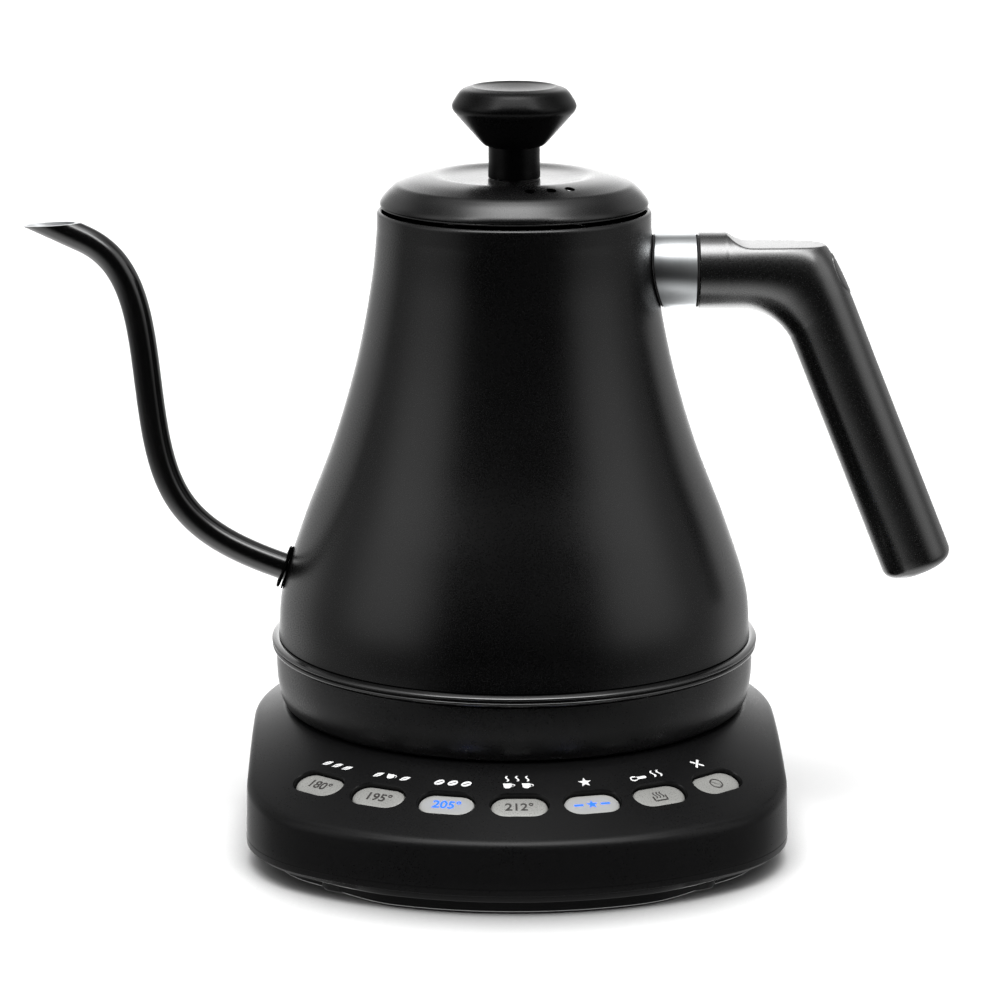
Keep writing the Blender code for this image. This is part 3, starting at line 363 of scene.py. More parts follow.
class Finish:
    """A material whose colour, roughness and relief come from procedural nodes."""

    def __init__(self, name, metallic=0.0):
        self.material = bpy.data.materials.new(name)
        self.material.use_nodes = True
        self.tree = self.material.node_tree
        self.shader = self.tree.nodes["Principled BSDF"]
        self.feed("Metallic", metallic)
        self.place = self.node("TexCoord", {}).outputs["Object"]

    def node(self, kind, feeds, **settings):
        """A node in this material."""
        return add_node(self.tree, kind, feeds, **settings)

    def feed(self, socket, value):
        """Drive one of the shader's inputs, or give it a value."""
        feed_socket(self.tree, self.shader.inputs[socket], value)

    def stretched(self, scale):
        """The piece's own coordinates, scaled differently along each axis."""
        return self.node("Mapping", {"Scale": scale, "Vector": self.place}).outputs["Vector"]

    def noise(self, scale, detail=2.0, place=None, rough=0.5):
        """Cloudy values around a half; scale is in features per metre."""
        feeds = {"Scale": scale, "Detail": detail, "Roughness": rough, "Vector": place or self.place}
        return self.node("TexNoise", feeds).outputs["Fac"]

    def cells(self, scale):
        """Distance to the nearest of scattered points."""
        return self.node("TexVoronoi", {"Scale": scale, "Vector": self.place}).outputs["Distance"]

    def span(self, value, low, high, start=0.3, stop=0.7):
        """Turn a cloudy value into a range of another."""
        feeds = {"Value": value, "From Min": start, "From Max": stop, "To Min": low, "To Max": high}
        return self.node("MapRange", feeds).outputs["Result"]

    def combine(self, operation, first, second):
        """Two values combined."""
        return self.node("Math", {0: first, 1: second}, operation=operation).outputs[0]

    def blend(self, share, first, second):
        """A colour between two, by a share."""
        feeds = {"A": (*first, 1.0), "B": (*second, 1.0), "Factor": share}
        return self.node("Mix", feeds, data_type="RGBA").outputs["Result"]

    def tint(self, value, first, second):
        """Colour the surface between two colours, by a cloudy value."""
        self.feed("Base Color", self.blend(self.span(value, 0.0, 1.0), first, second))

    def relief(self, height, depth):
        """Raise and sink the surface by up to a depth in millimetres."""
        bump = self.node("Bump", {"Strength": 1.0, "Distance": depth * MM, "Height": height})
        self.feed("Normal", bump.outputs["Normal"])


def shade(colour, share):
    """A colour made lighter or darker."""
    return tuple(share * c for c in colour)


def grained(name, colour, roughness, grain, depth, specular=0.5, index=1.5):
    """A black coating or moulding with a fine even grain and faint cloudiness."""
    finish = Finish(name)
    speck = finish.noise(grain, 3.0)
    patch = finish.span(finish.noise(38.0, 2.0), roughness - 0.02, roughness + 0.02)
    finish.tint(speck, shade(colour, 0.72), shade(colour, 1.3))
    finish.feed("Roughness", finish.combine("ADD", patch, finish.span(speck, -0.04, 0.04)))
    finish.feed("Specular IOR Level", specular)
    finish.feed("IOR", index)
    finish.relief(speck, depth)
    return finish.material


def brushed(name, colour, roughness, scale, axis, spread=0.8):
    """Steel with fine lines round an axis, and highlights spread across the lines."""
    finish = Finish(name, metallic=1.0)
    lines = finish.noise(1.0, 4.0, finish.stretched(scale), 0.65)
    finish.tint(lines, shade(colour, 0.94), colour)
    streak = finish.span(lines, roughness - 0.03, roughness + 0.03)
    cloud = finish.span(finish.noise(60.0, 2.0), -0.02, 0.02)
    finish.feed("Roughness", finish.combine("ADD", streak, cloud))
    around = finish.node("Tangent", {}, direction_type="RADIAL", axis=axis)
    finish.feed("Tangent", around.outputs["Tangent"])
    finish.feed("Anisotropic", spread)
    finish.feed("Anisotropic Rotation", 0.25)
    finish.relief(lines, 0.001)
    return finish.material


def plain(name, colour, roughness, metallic=0.0, grain=1500.0, depth=0.01):
    """A simple finish with slight cloudiness, grain and relief."""
    finish = Finish(name, metallic)
    speck = finish.noise(grain, 3.0)
    finish.tint(finish.noise(90.0, 3.0), shade(colour, 0.85), colour)
    finish.feed("Roughness", finish.span(speck, roughness - 0.06, roughness + 0.06))
    finish.relief(speck, depth)
    return finish.material


def solder_mask(name):
    """Green board varnish with lighter copper tracks under it."""
    finish = Finish(name)
    share = finish.span(finish.cells(420.0), 0.0, 1.0, 0.42, 0.5)
    finish.feed("Base Color", finish.blend(share, (0.012, 0.09, 0.035), (0.03, 0.17, 0.07)))
    finish.feed("Roughness", finish.span(finish.noise(900.0), 0.3, 0.42))
    finish.relief(share, 0.03)
    return finish.material


def lit_cap(name, colour, glow):
    """A cap with a blue light behind it: the glow attribute says where."""
    finish = Finish(name)
    speck = finish.noise(1800.0, 3.0)
    share = finish.node("Attribute", {}, attribute_name="glow").outputs["Fac"]
    finish.feed("Base Color", finish.blend(share, colour, (0.33, 0.34, 0.37)))
    finish.feed("Roughness", finish.span(speck, 0.3, 0.4))
    finish.feed("Emission Color", (0.1, 0.22, 1.0, 1.0))
    finish.feed("Emission Strength", finish.span(share, 0.0, glow, 0.0, 1.0))
    finish.relief(speck, 0.003)
    return finish.material


def printed(name, colour, light=0.0):
    """Ink with a slightly uneven edge of gloss; light makes it shine."""
    finish = Finish(name)
    speck = finish.noise(2600.0, 2.0)
    finish.tint(speck, shade(colour, 0.88), colour)
    finish.feed("Roughness", finish.span(speck, 0.4, 0.6))
    finish.feed("Emission Color", (*colour, 1.0))
    finish.feed("Emission Strength", light)
    return finish.material


CAP_GREY = (0.34, 0.34, 0.325)
COAT_BLACK = (0.0012, 0.0012, 0.0013)
GRAINED = {                        # colour, roughness, grain, depth, specular, index
    "powder_coat": (COAT_BLACK, 0.28, 2300.0, 0.008),
    "satin_black": (COAT_BLACK, 0.18, 3000.0, 0.001, 1.0),
    "moulded_black": ((0.0042, 0.0042, 0.0044), 0.31, 1900.0, 0.012, 0.15),
    "skirt_black": ((0.005, 0.005, 0.0052), 0.3, 1900.0, 0.012),
    "knob_black": (COAT_BLACK, 0.3, 2100.0, 0.012, 0.15),
    "lid_coat": (COAT_BLACK, 0.25, 2600.0, 0.008),
    "handle_black": ((0.0014, 0.0014, 0.0015), 0.27, 2100.0, 0.006, 1.0, 1.68),
    "tray_black": ((0.0035, 0.0035, 0.0037), 0.4, 1900.0, 0.015, 0.1),
    # Black with no specular, darker than the rubber: partly the parts' own black, partly painted shade that
    # keeps the lid gap and the spout collar black.
    "seal_black": ((0.0015, 0.0015, 0.0015), 0.6, 1500.0, 0.01, 0.0),
}
PLAIN = {                          # colour, roughness, metallic, grain, depth
    "switch_black": ((0.02, 0.02, 0.02), 0.5),
    "rubber": ((0.008, 0.008, 0.008), 0.75, 0.0, 1200.0, 0.02),
    "silicone": ((0.5, 0.5, 0.48), 0.5),
    "bore_steel": ((0.56, 0.57, 0.58), 0.45, 0.3),
    "aluminium": ((0.74, 0.74, 0.75), 0.38, 1.0),
    "brass": ((0.78, 0.6, 0.26), 0.3, 1.0),
    "button_grey": (CAP_GREY, 0.3, 0.2, 2600.0, 0.003),
    "relay_case": ((0.03, 0.08, 0.24), 0.35),
}
PRINTED = {                        # colour, light
    "white_print": ((0.82, 0.82, 0.82),),
    "grey_print": ((0.03, 0.027, 0.025),),
    "blue_print": ((0.01, 0.12, 0.95), 0.9),
}
FINISHES = {
    "brushed_steel": brushed("brushed_steel", (0.62, 0.64, 0.65), 0.42, (6000.0, 60.0, 60.0), "X", 0.7),
    "plain_steel": brushed("plain_steel", (0.62, 0.62, 0.61), 0.26, (60.0, 60.0, 5000.0), "Z"),
    "circuit_board": solder_mask("circuit_board"),
    "button_lit": lit_cap("button_lit", CAP_GREY, 0.05),
}
for maker, table in ((grained, GRAINED), (plain, PLAIN), (printed, PRINTED)):
    FINISHES.update({name: maker(name, *looks) for name, looks in table.items()})


# ------------------------------------------------------------------ vessel

def vessel_wall(swell=0.0, per_span=12):
    """Outer wall of the vessel, top to bottom, moved outward by swell."""
    points = flowing(VESSEL_ANCHORS, per_span)
    moved = []
    for i, point in enumerate(points):
        run = points[min(i + 1, len(points) - 1)] - points[max(i - 1, 0)]
        run.normalize()
        moved.append(Vector((point.x - run.y * swell, point.y + run.x * swell)))
    return moved


def wall_radius(height):
    """Outer radius of the vessel at a height."""
    wall = vessel_wall()
    for above, below in zip(wall, wall[1:]):
        if below.y <= height <= above.y:
            share = (above.y - height) / (above.y - below.y)
            return above.x + (below.x - above.x) * share
    return wall[0].x


def make_vessel():
    """The shell: powder coat outside, bare steel inside."""
    rim = eased([
        (MOUTH_R, VESSEL_TOP - 1.9, 0), (MOUTH_R, VESSEL_TOP - 0.9, 0.3),
        (NECK_R - 0.95, VESSEL_TOP - 0.15, 0.25),
        (NECK_R - 0.05, VESSEL_TOP - 0.8, 0.7), (NECK_R, 187.6, 0),
    ])
    outer = rim[1:-1] + vessel_wall()
    inner = list(reversed(vessel_wall(-VESSEL_WALL)))
    inner[0] = Vector((inner[0].x, VESSEL_FOOT))
    inner.append(rim[0])
    steel = range(len(outer), len(outer) + len(inner) - 2)
    vessel = turned("vessel_shell", outer + inner, closed=True, second=steel)
    along = Vector((-cos(SPOUT_ROOT_TILT), 0, sin(SPOUT_ROOT_TILT)))
    hole_place = placed(*(SPOUT_ROOT - along * 8), SPOUT_ROOT_TILT - pi / 2, "Y")
    bore = SPOUT_R + 0.2
    rod = [(0, 0), (bore, 0), (bore, 13), (0, 13)]
    carve(vessel, [turned("guide_bore", rod, steps=32, matrix=hole_place)])
    stand_for(vessel, "vessel", finishes=("powder_coat", "plain_steel"))


def make_trim_ring():
    """Two beads with a groove between them, under the shell."""
    high = top("trim_ring")
    low = foot("trim_ring")
    edge = reach("trim_ring")
    middle = (high + low) / 2
    outline = eased([
        (71, high, 0), (edge - 1.6, high, 0.5), (edge - 0.15, high - 0.6, 0.5),
        (edge, middle + 0.55, 0.3), (edge - 1.0, middle, 0.2),
        (edge - 0.15, middle - 0.5, 0.4), (edge - 0.4, low + 0.4, 0.4),
        (edge - 1.4, low, 0.3), (71, low, 0),
    ], closed=True)
    stand_for(turned("trim_ring_beads", outline, closed=True), "trim_ring")


def make_skirt():
    """Moulded wall below the ring, turned in at its foot."""
    high = top("skirt")
    low = foot("skirt")
    edge = reach("skirt")
    outline = eased([
        (edge, high, HAIR), (edge, 46.4, 5), (edge - 0.8, 40.6, 2),
        (edge - 1.6, 38.2, 1.2), (edge - 2.5, 36.9, 0.6),
        (edge - 3.8, low, 0.4), (68, low, HAIR), (68, low + 2.2, HAIR),
        (71, 40, 1), (edge - 2.2, 46.4, 2), (edge - 2.2, high, HAIR),
    ], closed=True)
    stand_for(turned("skirt_wall", outline, closed=True), "skirt", finishes=("skirt_black",))


def make_underside():
    """Ribbed cover under the kettle and the round socket in its middle."""
    low = foot("bottom_cover")
    high = top("bottom_cover")
    edge = reach("bottom_cover")
    inner = 21.5
    corners = [(inner, high, 0), (edge, high, HAIR), (edge, low, HAIR)]
    for ring in (60, 52, 44, 36):
        rib = ring
        corners += [
            (rib + 1.2, low, 0.2), (rib + 0.8, low + 0.6, 0.2),
            (rib - 0.8, low + 0.6, 0.2), (rib - 1.2, low, 0.2),
        ]
    corners.append((inner, low, HAIR))
    stand_for(turned("kettle_underside", eased(corners, closed=True), closed=True), "bottom_cover")
    edge = reach("kettle_connector")
    low = foot("kettle_connector")
    high = top("kettle_connector")
    socket = eased([
        (0, high, 0), (edge, high, 1), (edge, low, 0.4), (18, low, 0.6),
        (18, 47.6, 0.6), (0, 47.6, 0),
    ])
    stand_for(turned("kettle_socket", socket, steps=96), "kettle_connector")


# ------------------------------------------------------------------- spout

def spout_line(per_span=30):
    """Centre line of the spout, from inside the vessel to past its mouth."""
    root_way = Vector((-cos(SPOUT_ROOT_TILT), 0, sin(SPOUT_ROOT_TILT)))
    tip_way = Vector((-cos(SPOUT_TIP_TILT), 0, sin(SPOUT_TIP_TILT)))
    rise_way = Vector((-sin(SPOUT_RISE_TILT), 0, cos(SPOUT_RISE_TILT)))
    middle = Vector((-113.5, 0, 132.3))
    neck = Vector((-133.0, 0, 183.6))
    tip = neck + tip_way * 26
    spans = (
        (SPOUT_ROOT, SPOUT_ROOT + root_way * 36, middle - rise_way * 29.8, middle),
        (middle, middle + rise_way * 23, neck - tip_way * 18.4, neck),
        (neck, neck + tip_way * 8, tip - tip_way * 8, tip),
    )
    line = []
    for start, first, second, stop in spans:
        for step in range(per_span):
            t = step / per_span
            line.append(start * (1 - t) ** 3 + first * 3 * t * (1 - t) ** 2
                        + second * 3 * t ** 2 * (1 - t) + stop * t ** 3)
    return line + [tip]


def tube_rings(line, radius, steps=40):
    """Rings of a radius square to a line that lies in the XZ plane."""
    rings = []
    side = Vector((0, 1, 0))
    for i, point in enumerate(line):
        run = (line[min(i + 1, len(line) - 1)] - line[max(i - 1, 0)]).normalized()
        up = run.cross(side)
        ring = []
        for angle in turns(steps):
            ring.append(point + up * radius * cos(angle) + side * radius * sin(angle))
        rings.append(ring)
    return rings


def make_spout():
    """Bent tube, black outside and bare steel inside, with an almost level mouth."""
    line = spout_line()
    outside = tube_rings(line, SPOUT_R)
    inside = tube_rings(line, SPOUT_BORE_R)
    rings = outside + list(reversed(inside))
    steel = range(len(outside) - 1, len(rings))
    spout = loft("spout_tube", rings, closed=True, second=steel)
    for finish in ("satin_black", "bore_steel"):
        spout.data.materials.append(FINISHES[finish])
    lip = placed(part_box("spout")[0].x / MM, 0, SPOUT_MOUTH_Z, -MOUTH_TILT, "Y")
    corners = ((-12, -9), (44, -9), (44, 9), (-12, 9))
    above = [[lip @ Vector((x, y, z)) for x, y in corners] for z in (0, 30)]
    carve(spout, [loft("guide_above", above)])
    stand_for(spout, "spout", finishes=("satin_black", "bore_steel"))


def make_flange():
    """Thin disc square to the spout, over a flat gasket that hugs the vessel."""
    def seat(tilt):
        return placed(*SPOUT_ROOT, tilt - pi / 2, "Y")

    disc = eased([
        (4.35, 1.65, 0), (6.5, 1.65, 0.3), (6.8, 1.4, 0.2), (6.8, 1.05, 0.2), (6.5, 0.8, 0.3), (4.35, 0.8, 0),
    ], closed=True)
    # Collar and washer take the specular-free black: their own black in part, painted shade in part.
    flange = turned("spout_collar", disc, closed=True, steps=64, matrix=seat(radians(20.4)))
    stand_for(flange, "spout_flange", finishes=("seal_black",))
    pad = eased([(4.5, 0.42, 0), (6.9, 0.42, 0.1), (6.9, 0.08, 0.1), (4.5, 0.08, 0)], closed=True)
    gasket = turned("spout_washer", pad, closed=True, steps=64, matrix=seat(radians(17.4)))
    stand_for(gasket, "spout_gasket", finishes=("seal_black",))


# ------------------------------------------------------------------ handle

def saddle_ring(radius, gap, steps=96):
    """Where a tube of a radius along +X comes within a gap of the vessel's wall."""
    ring = []
    for angle in turns(steps):
        y = radius * sin(angle)
        z = ARM_Z + radius * cos(angle)
        around = wall_radius(z) + gap
        ring.append(Vector((sqrt(around ** 2 - y ** 2), y, z)))
    return ring


def flat_ring(radius, x, steps=96):
    """A circle about the handle arm's axis, at a distance x."""
    return [Vector((x, radius * sin(a), ARM_Z + radius * cos(a))) for a in turns(steps)]


def make_ferrule():
    """Brushed sleeve with a saddle end, and the dark joints at both its ends."""
    bore = FERRULE_R - 1.4
    rings = [
        saddle_ring(bore, 0.8), saddle_ring(FERRULE_R - 0.3, 0.8),
        saddle_ring(FERRULE_R - 0.09, 0.9), saddle_ring(FERRULE_R, 1.1),
        flat_ring(FERRULE_R, FERRULE_END - 0.35),
        flat_ring(FERRULE_R - 0.09, FERRULE_END - 0.09),
        flat_ring(FERRULE_R - 0.3, FERRULE_END), flat_ring(bore, FERRULE_END),
    ]
    stand_for(loft("ferrule_sleeve", rings, closed=True), "handle_ferrule")
    outer = FERRULE_R - 0.5
    gasket = [
        saddle_ring(4.4, 0.2), saddle_ring(outer, 0.2),
        saddle_ring(outer, 0.65), saddle_ring(4.4, 0.65),
    ]
    stand_for(loft("ferrule_joint", gasket, closed=True), "ferrule_gasket")
    low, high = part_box("handle_washer")
    near = low.x / MM
    far = high.x / MM
    washer = [flat_ring(4.4, near), flat_ring(outer, near), flat_ring(outer, far), flat_ring(4.4, far)]
    stand_for(loft("handle_joint", washer, closed=True), "handle_washer")


def handle_edges():
    """Matching points down the handle's inner and outer edges, with half depths."""
    arm_low = ARM_Z - ARM_R
    arm_top = ARM_Z + ARM_R
    centre = Vector((BEND_X, 0, arm_low - BEND_R))
    down = Vector((cos(GRIP_ANGLE), 0, -sin(GRIP_ANGLE)))
    across = Vector((sin(GRIP_ANGLE), 0, cos(GRIP_ANGLE)))
    inner = []
    outer = []
    for x in (HANDLE_START, (HANDLE_START + BEND_X) / 2, BEND_X):
        inner.append(Vector((x, 0, arm_low)))
        outer.append(Vector((x, 0, arm_top)))
    crown = (
        (79.0, arm_top), (87.5, arm_top - 0.4), (94.6, arm_top - 2.2),
        (98.8, 178.2), (101.7, 172.8), (INLAY_LOW.x, INLAY_LOW.z),
    )
    for step, (x, z) in enumerate(crown, 1):
        turn = GRIP_ANGLE * step / len(crown)
        inner.append(centre + BEND_R * Vector((sin(turn), 0, cos(turn))))
        outer.append(Vector((x, 0, z)))
    length = (inner[-1].z - GRIP_END_Z) / sin(GRIP_ANGLE) - GRIP_END_ROUND
    start = inner[-1].copy()
    for step in range(1, 6):
        inner.append(start + down * length * step / 5)
        outer.append(inner[-1] + across * GRIP_WIDTH)
    return inner, outer, down, across


def thumb_height(x):
    """Height of the thumb rest's surface over a place along the arm."""
    share = (x - THUMB_START) / THUMB_RAMP
    if share >= 1:
        return THUMB_FLAT_Z
    drop = ARM_Z + ARM_R - THUMB_FLAT_Z
    return THUMB_FLAT_Z + drop * (1 - share) ** 2


def handle_ring(inner, outer, depth, square):
    """A rounded section, cut level where it stands above the thumb rest."""
    centre = (inner + outer) / 2
    half = (outer - inner) / 2

    def spot(angle):
        c, s = cos(angle), sin(angle)
        u = abs(c) ** (2 / square) * (1 if c >= 0 else -1)
        v = abs(s) ** (2 / square) * (1 if s >= 0 else -1)
        return u, v

    limit = 1.0
    if centre.x > THUMB_START - 12:
        while limit > 0 and outer.x >= THUMB_START:
            point = centre + half * limit
            if point.z <= thumb_height(point.x):
                break
            limit -= 0.002
    edge = acos(max(-1.0, min(1.0, limit ** (square / 2))))
    edge = max(edge, radians(7))
    lip = radians(1.2)
    angles = [edge * k / 6 for k in range(-4, 5)]
    angles = [-(edge - lip)] + angles + [edge - lip, edge + lip]
    rest = 58
    span = 2 * pi - 2 * (edge + lip)
    angles += [edge + lip + span * k / rest for k in range(1, rest)] + [-(edge + lip)]
    ring = []
    for angle in angles:
        u, v = spot(angle)
        ring.append(centre + half * min(u, limit) + Vector((0, depth * v, 0)))
    return ring


def inlay_frame():
    """Frame on the handle's outer corner: Z out of it, Y up along it."""
    up = (INLAY_HIGH - INLAY_LOW).normalized()
    out = Vector((-up.z, 0, up.x))
    out = out if out.x > 0 else -out
    turn = Matrix((up.cross(out), up, out)).transposed().to_4x4()
    return Matrix.Translation((INLAY_HIGH + INLAY_LOW) / 2) @ turn


def oval_rings(layers, steps=48):
    """Oval rings in the inlay's frame, of (growth, height, share of the grip's curve)."""
    place = inlay_frame()
    rings = []
    for grow, height, crown in layers:
        ring = []
        for angle in turns(steps):
            x = (INLAY_HALF_W + grow) * cos(angle)
            y = (INLAY_HALF_L + grow) * sin(angle)
            fall = (ARM_R - sqrt(ARM_R ** 2 - x ** 2)) * crown
            ring.append(place @ Vector((x, y, height - fall)))
        rings.append(ring)
    return rings


def make_handle():
    """The grip with its thumb rest, rounded end and inlaid corner plate."""
    inner, outer, down, across = handle_edges()
    per_span = 7
    inner_line = flowing(inner, per_span)
    outer_line = flowing(outer, per_span)
    bend_end = 8 * per_span
    rings = []
    for i, (low, high) in enumerate(zip(inner_line, outer_line)):
        share = min(1.0, i / bend_end)
        depth = ARM_R + (GRIP_DEPTH - ARM_R) * share
        rings.append(handle_ring(low, high, depth, 2.0 + 0.1 * share))
    low, high = inner_line[-1], outer_line[-1]
    for step in range(1, 8):
        turn = radians(85) * step / 7
        inset = GRIP_END_ROUND * (1 - cos(turn))
        ahead = down * GRIP_END_ROUND * sin(turn)
        rings.append(handle_ring(low + ahead + across * inset, high + ahead - across * inset,
                                 GRIP_DEPTH - inset, 2.1))
    handle = loft("handle_grip", rings)
    pocket = oval_rings([(0.6, -2.7, 0), (0.6, 6, 0)])
    carve(handle, [loft("guide_pocket", pocket)])
    shank = [(0, 50), (4.3, 50), (4.3, 80.4), (0, 80.4)]
    along = placed(0, 0, ARM_Z, pi / 2, "Y")
    carve(handle, [turned("guide_stud", shank, steps=32, matrix=along)])
    stand_for(handle, "handle", "handle_screw", finishes=("handle_black",))
    plate = [(0, -2.6, 0), (0, -0.2, 1), (-0.1, 0.05, 1), (-0.4, 0.2, 1)]
    plate += [(-INLAY_HALF_W * k / 5, 0.25 + 0.04 * k, 1) for k in range(1, 5)]
    stand_for(loft("handle_corner_plate", oval_rings(plate)), "handle_inlay", finishes=("handle_black",))


# --------------------------------------------------------------------- lid

def make_lid_cover():
    """Domed cover with a dished centre, a crease, a rolled rim and three vents."""
    edge = reach("lid_cover")
    rim = foot("lid_cover") + 0.5
    outline = eased([
        (2.2, 202.2, 0), (18.5, 202.3, 4), (24.6, 203.8, 2),
        (30.5, 202.8, 5), (36.3, 200.7, 0.8), (38.9, 198.6, 2),
        (edge - 0.5, 195.8, 0.9), (edge, 194.5, 0.6),
        (edge - 0.75, rim + 0.85, 0.3), (edge - 0.25, rim + 0.35, 0.25),
        (edge - 0.45, rim, 0.2),
        (edge - 1.8, rim, HAIR), (edge - 1.9, 195.2, 0.5), (35.7, 199.8, 1),
        (30.3, 201.8, 3), (24.3, 202.7, 2), (7.9, 201.4, 1),
        (2.2, 201.4, 0),
    ], closed=True)
    cover = turned("lid_dome", outline, closed=True)
    hole = [(0, -6), (VENT_R, -6), (VENT_R, -0.15), (VENT_R + 0.55, 0.4), (0, 0.4)]
    vents = []
    for number, degrees in enumerate(VENT_ANGLES):
        angle = radians(degrees)
        spot = Vector((VENT_RING_R * sin(angle), -VENT_RING_R * cos(angle), VENT_Z))
        tilt = Matrix.Rotation(angle, 4, "Z") @ Matrix.Rotation(radians(15), 4, "X")
        place = Matrix.Translation(spot) @ tilt
        vents.append(turned(f"guide_vent_{number}", hole, steps=32, matrix=place))
    carve(cover, vents)
    stand_for(cover, "lid_cover", finishes=("lid_coat",))


def make_knob():
    """Double cone with a dished top, on a short stem with a low collar."""
    high = top("knob")
    edge = reach("knob")
    outline = eased([
        (0, high - 1.9, 0), (6, high - 1.6, 3), (11.6, high - 0.5, 1),
        (12.9, high, 0.4), (16.4, high - 1.1, 1.5), (edge - 0.4, 225.9, 1.2),
        (edge, 224.6, 0.7), (edge - 0.5, 223.2, 0.7), (10.1, 213.4, 0.9),
        (9.0, foot("knob"), 0.4), (2.2, foot("knob"), 0), (2.2, 222, 0), (0, 222, 0),
    ])
    stand_for(turned("knob_cap", outline, steps=120), "knob", finishes=("knob_black",))
    low = foot("knob_stem")
    edge = reach("knob_stem")
    stem = eased([
        (2.2, top("knob_stem"), 0), (edge - 0.1, top("knob_stem"), HAIR),
        (edge - 0.1, low + 3.0, 1), (edge, low + 1.6, 1),
        (edge, low, 0.3), (2.2, low, 0),
    ], closed=True)
    stem = turned("knob_pillar", stem, closed=True, steps=96)
    stand_for(stem, "knob_stem", finishes=("knob_black",))


def make_lid_pan():
    """Steel pan with a black upper edge that plugs the neck, and the soft seal round it."""
    edge = reach("lid_plate")
    low = foot("lid_plate")
    high = top("lid_plate")
    sheet = 0.8
    pan = eased([
        (0, low, 0), (edge, low, 1.6), (edge, 184, 0.3), (edge, high, HAIR),
        (edge - sheet, high, HAIR), (edge - sheet, low + sheet, 1.1), (0, low + sheet, 0),
    ])
    coated = [i for i, point in enumerate(pan) if point.y > 183.9]
    stand_for(turned("lid_pan", pan, second=coated), "lid_plate", finishes=("plain_steel", "seal_black"))
    edge = reach("lid_seal")
    low = foot("lid_seal")
    high = top("lid_seal")
    inner = reach("lid_plate") + 0.3
    seal = eased([
        (inner, high, HAIR), (edge - 0.5, high - 1.1, 0.4), (edge, high - 1.6, 0.3),
        (edge - 1.0, low + 0.2, 0.5), (inner, low, HAIR),
    ], closed=True)
    # The seal takes the specular-free black: painted shade that keeps the gap under the lid black, over the
    # seal's own black.
    stand_for(turned("lid_gasket", seal, closed=True), "lid_seal", finishes=("seal_black",))


# -------------------------------------------------------------------- base

def outline_radius(angle, inset=0.0):
    """Distance from the axis to the base's plan outline; angle 0 is the front."""
    turn = abs((angle + pi) % (2 * pi) - pi)
    corner_x = BASE_HALF_W - CORNER_R
    corner_y = sqrt((FRONT_R - CORNER_R) ** 2 - corner_x ** 2)
    if turn <= atan2(corner_x, corner_y):
        return FRONT_R - inset
    if turn <= atan2(BASE_HALF_W - inset, corner_y):
        along = sin(turn) * corner_x + cos(turn) * corner_y
        off = corner_x ** 2 + corner_y ** 2 - (CORNER_R - inset) ** 2
        return along + sqrt(along ** 2 - off)
    if turn <= pi / 2:
        return (BASE_HALF_W - inset) / sin(turn)
    return BASE_HALF_W - inset


def plinth_inset(angle):
    """How far the plinth is set back: little along the front, more at the corners."""
    turn = abs((angle + pi) % (2 * pi) - pi)
    share = min(1.0, max(0.0, (turn - radians(20)) / radians(18)))
    return 2.4 + 5.4 * share ** 2 * (3 - 2 * share)


def panel_height(radius):
    """Height of the sloping top at a distance from the axis."""
    return SEAT_Z - max(0.0, radius - SEAT_R) * tan(PANEL_SLOPE)


def around(section):
    """A ring of points from a function of angle that gives radius and height."""
    ring = []
    for angle in turns(OUTLINE_STEPS):
        radius, height = section(angle)
        ring.append(Vector((radius * sin(angle), -radius * cos(angle), height)))
    return ring


def crest_point(angle, t):
    """A point on the round edge between the base's wall and its sloping top."""
    edge = outline_radius(angle, 0.4)
    low = Vector((edge, panel_height(edge) - CREST_ROUND))
    peak = Vector((edge, panel_height(edge)))
    inner = edge - CREST_ROUND * cos(PANEL_SLOPE)
    high = Vector((inner, panel_height(inner)))
    return low * (1 - t) ** 2 + peak * 2 * t * (1 - t) + high * t ** 2


def slope_point(angle, share):
    """A point on the sloping top, from the crest at 0 to the seat's edge at 1."""
    crest = crest_point(angle, 1.0)
    radius = crest.x + (SEAT_R - crest.x) * share
    return radius, panel_height(radius)


def button_frame(index, ring_radius=BUTTON_RING_R):
    """Frame on the panel at a button's angle: X along the row, Z out of the panel."""
    angle = (index - (BUTTON_COUNT - 1) / 2) * BUTTON_PITCH
    outward = Vector((sin(angle), -cos(angle), 0))
    row = Vector((cos(angle), sin(angle), 0))
    normal = outward * sin(PANEL_SLOPE) + Vector((0, 0, cos(PANEL_SLOPE)))
    spot = outward * ring_radius + Vector((0, 0, panel_height(ring_radius)))
    turn = Matrix((row, normal.cross(row), normal)).transposed().to_4x4()
    return Matrix.Translation(spot) @ turn


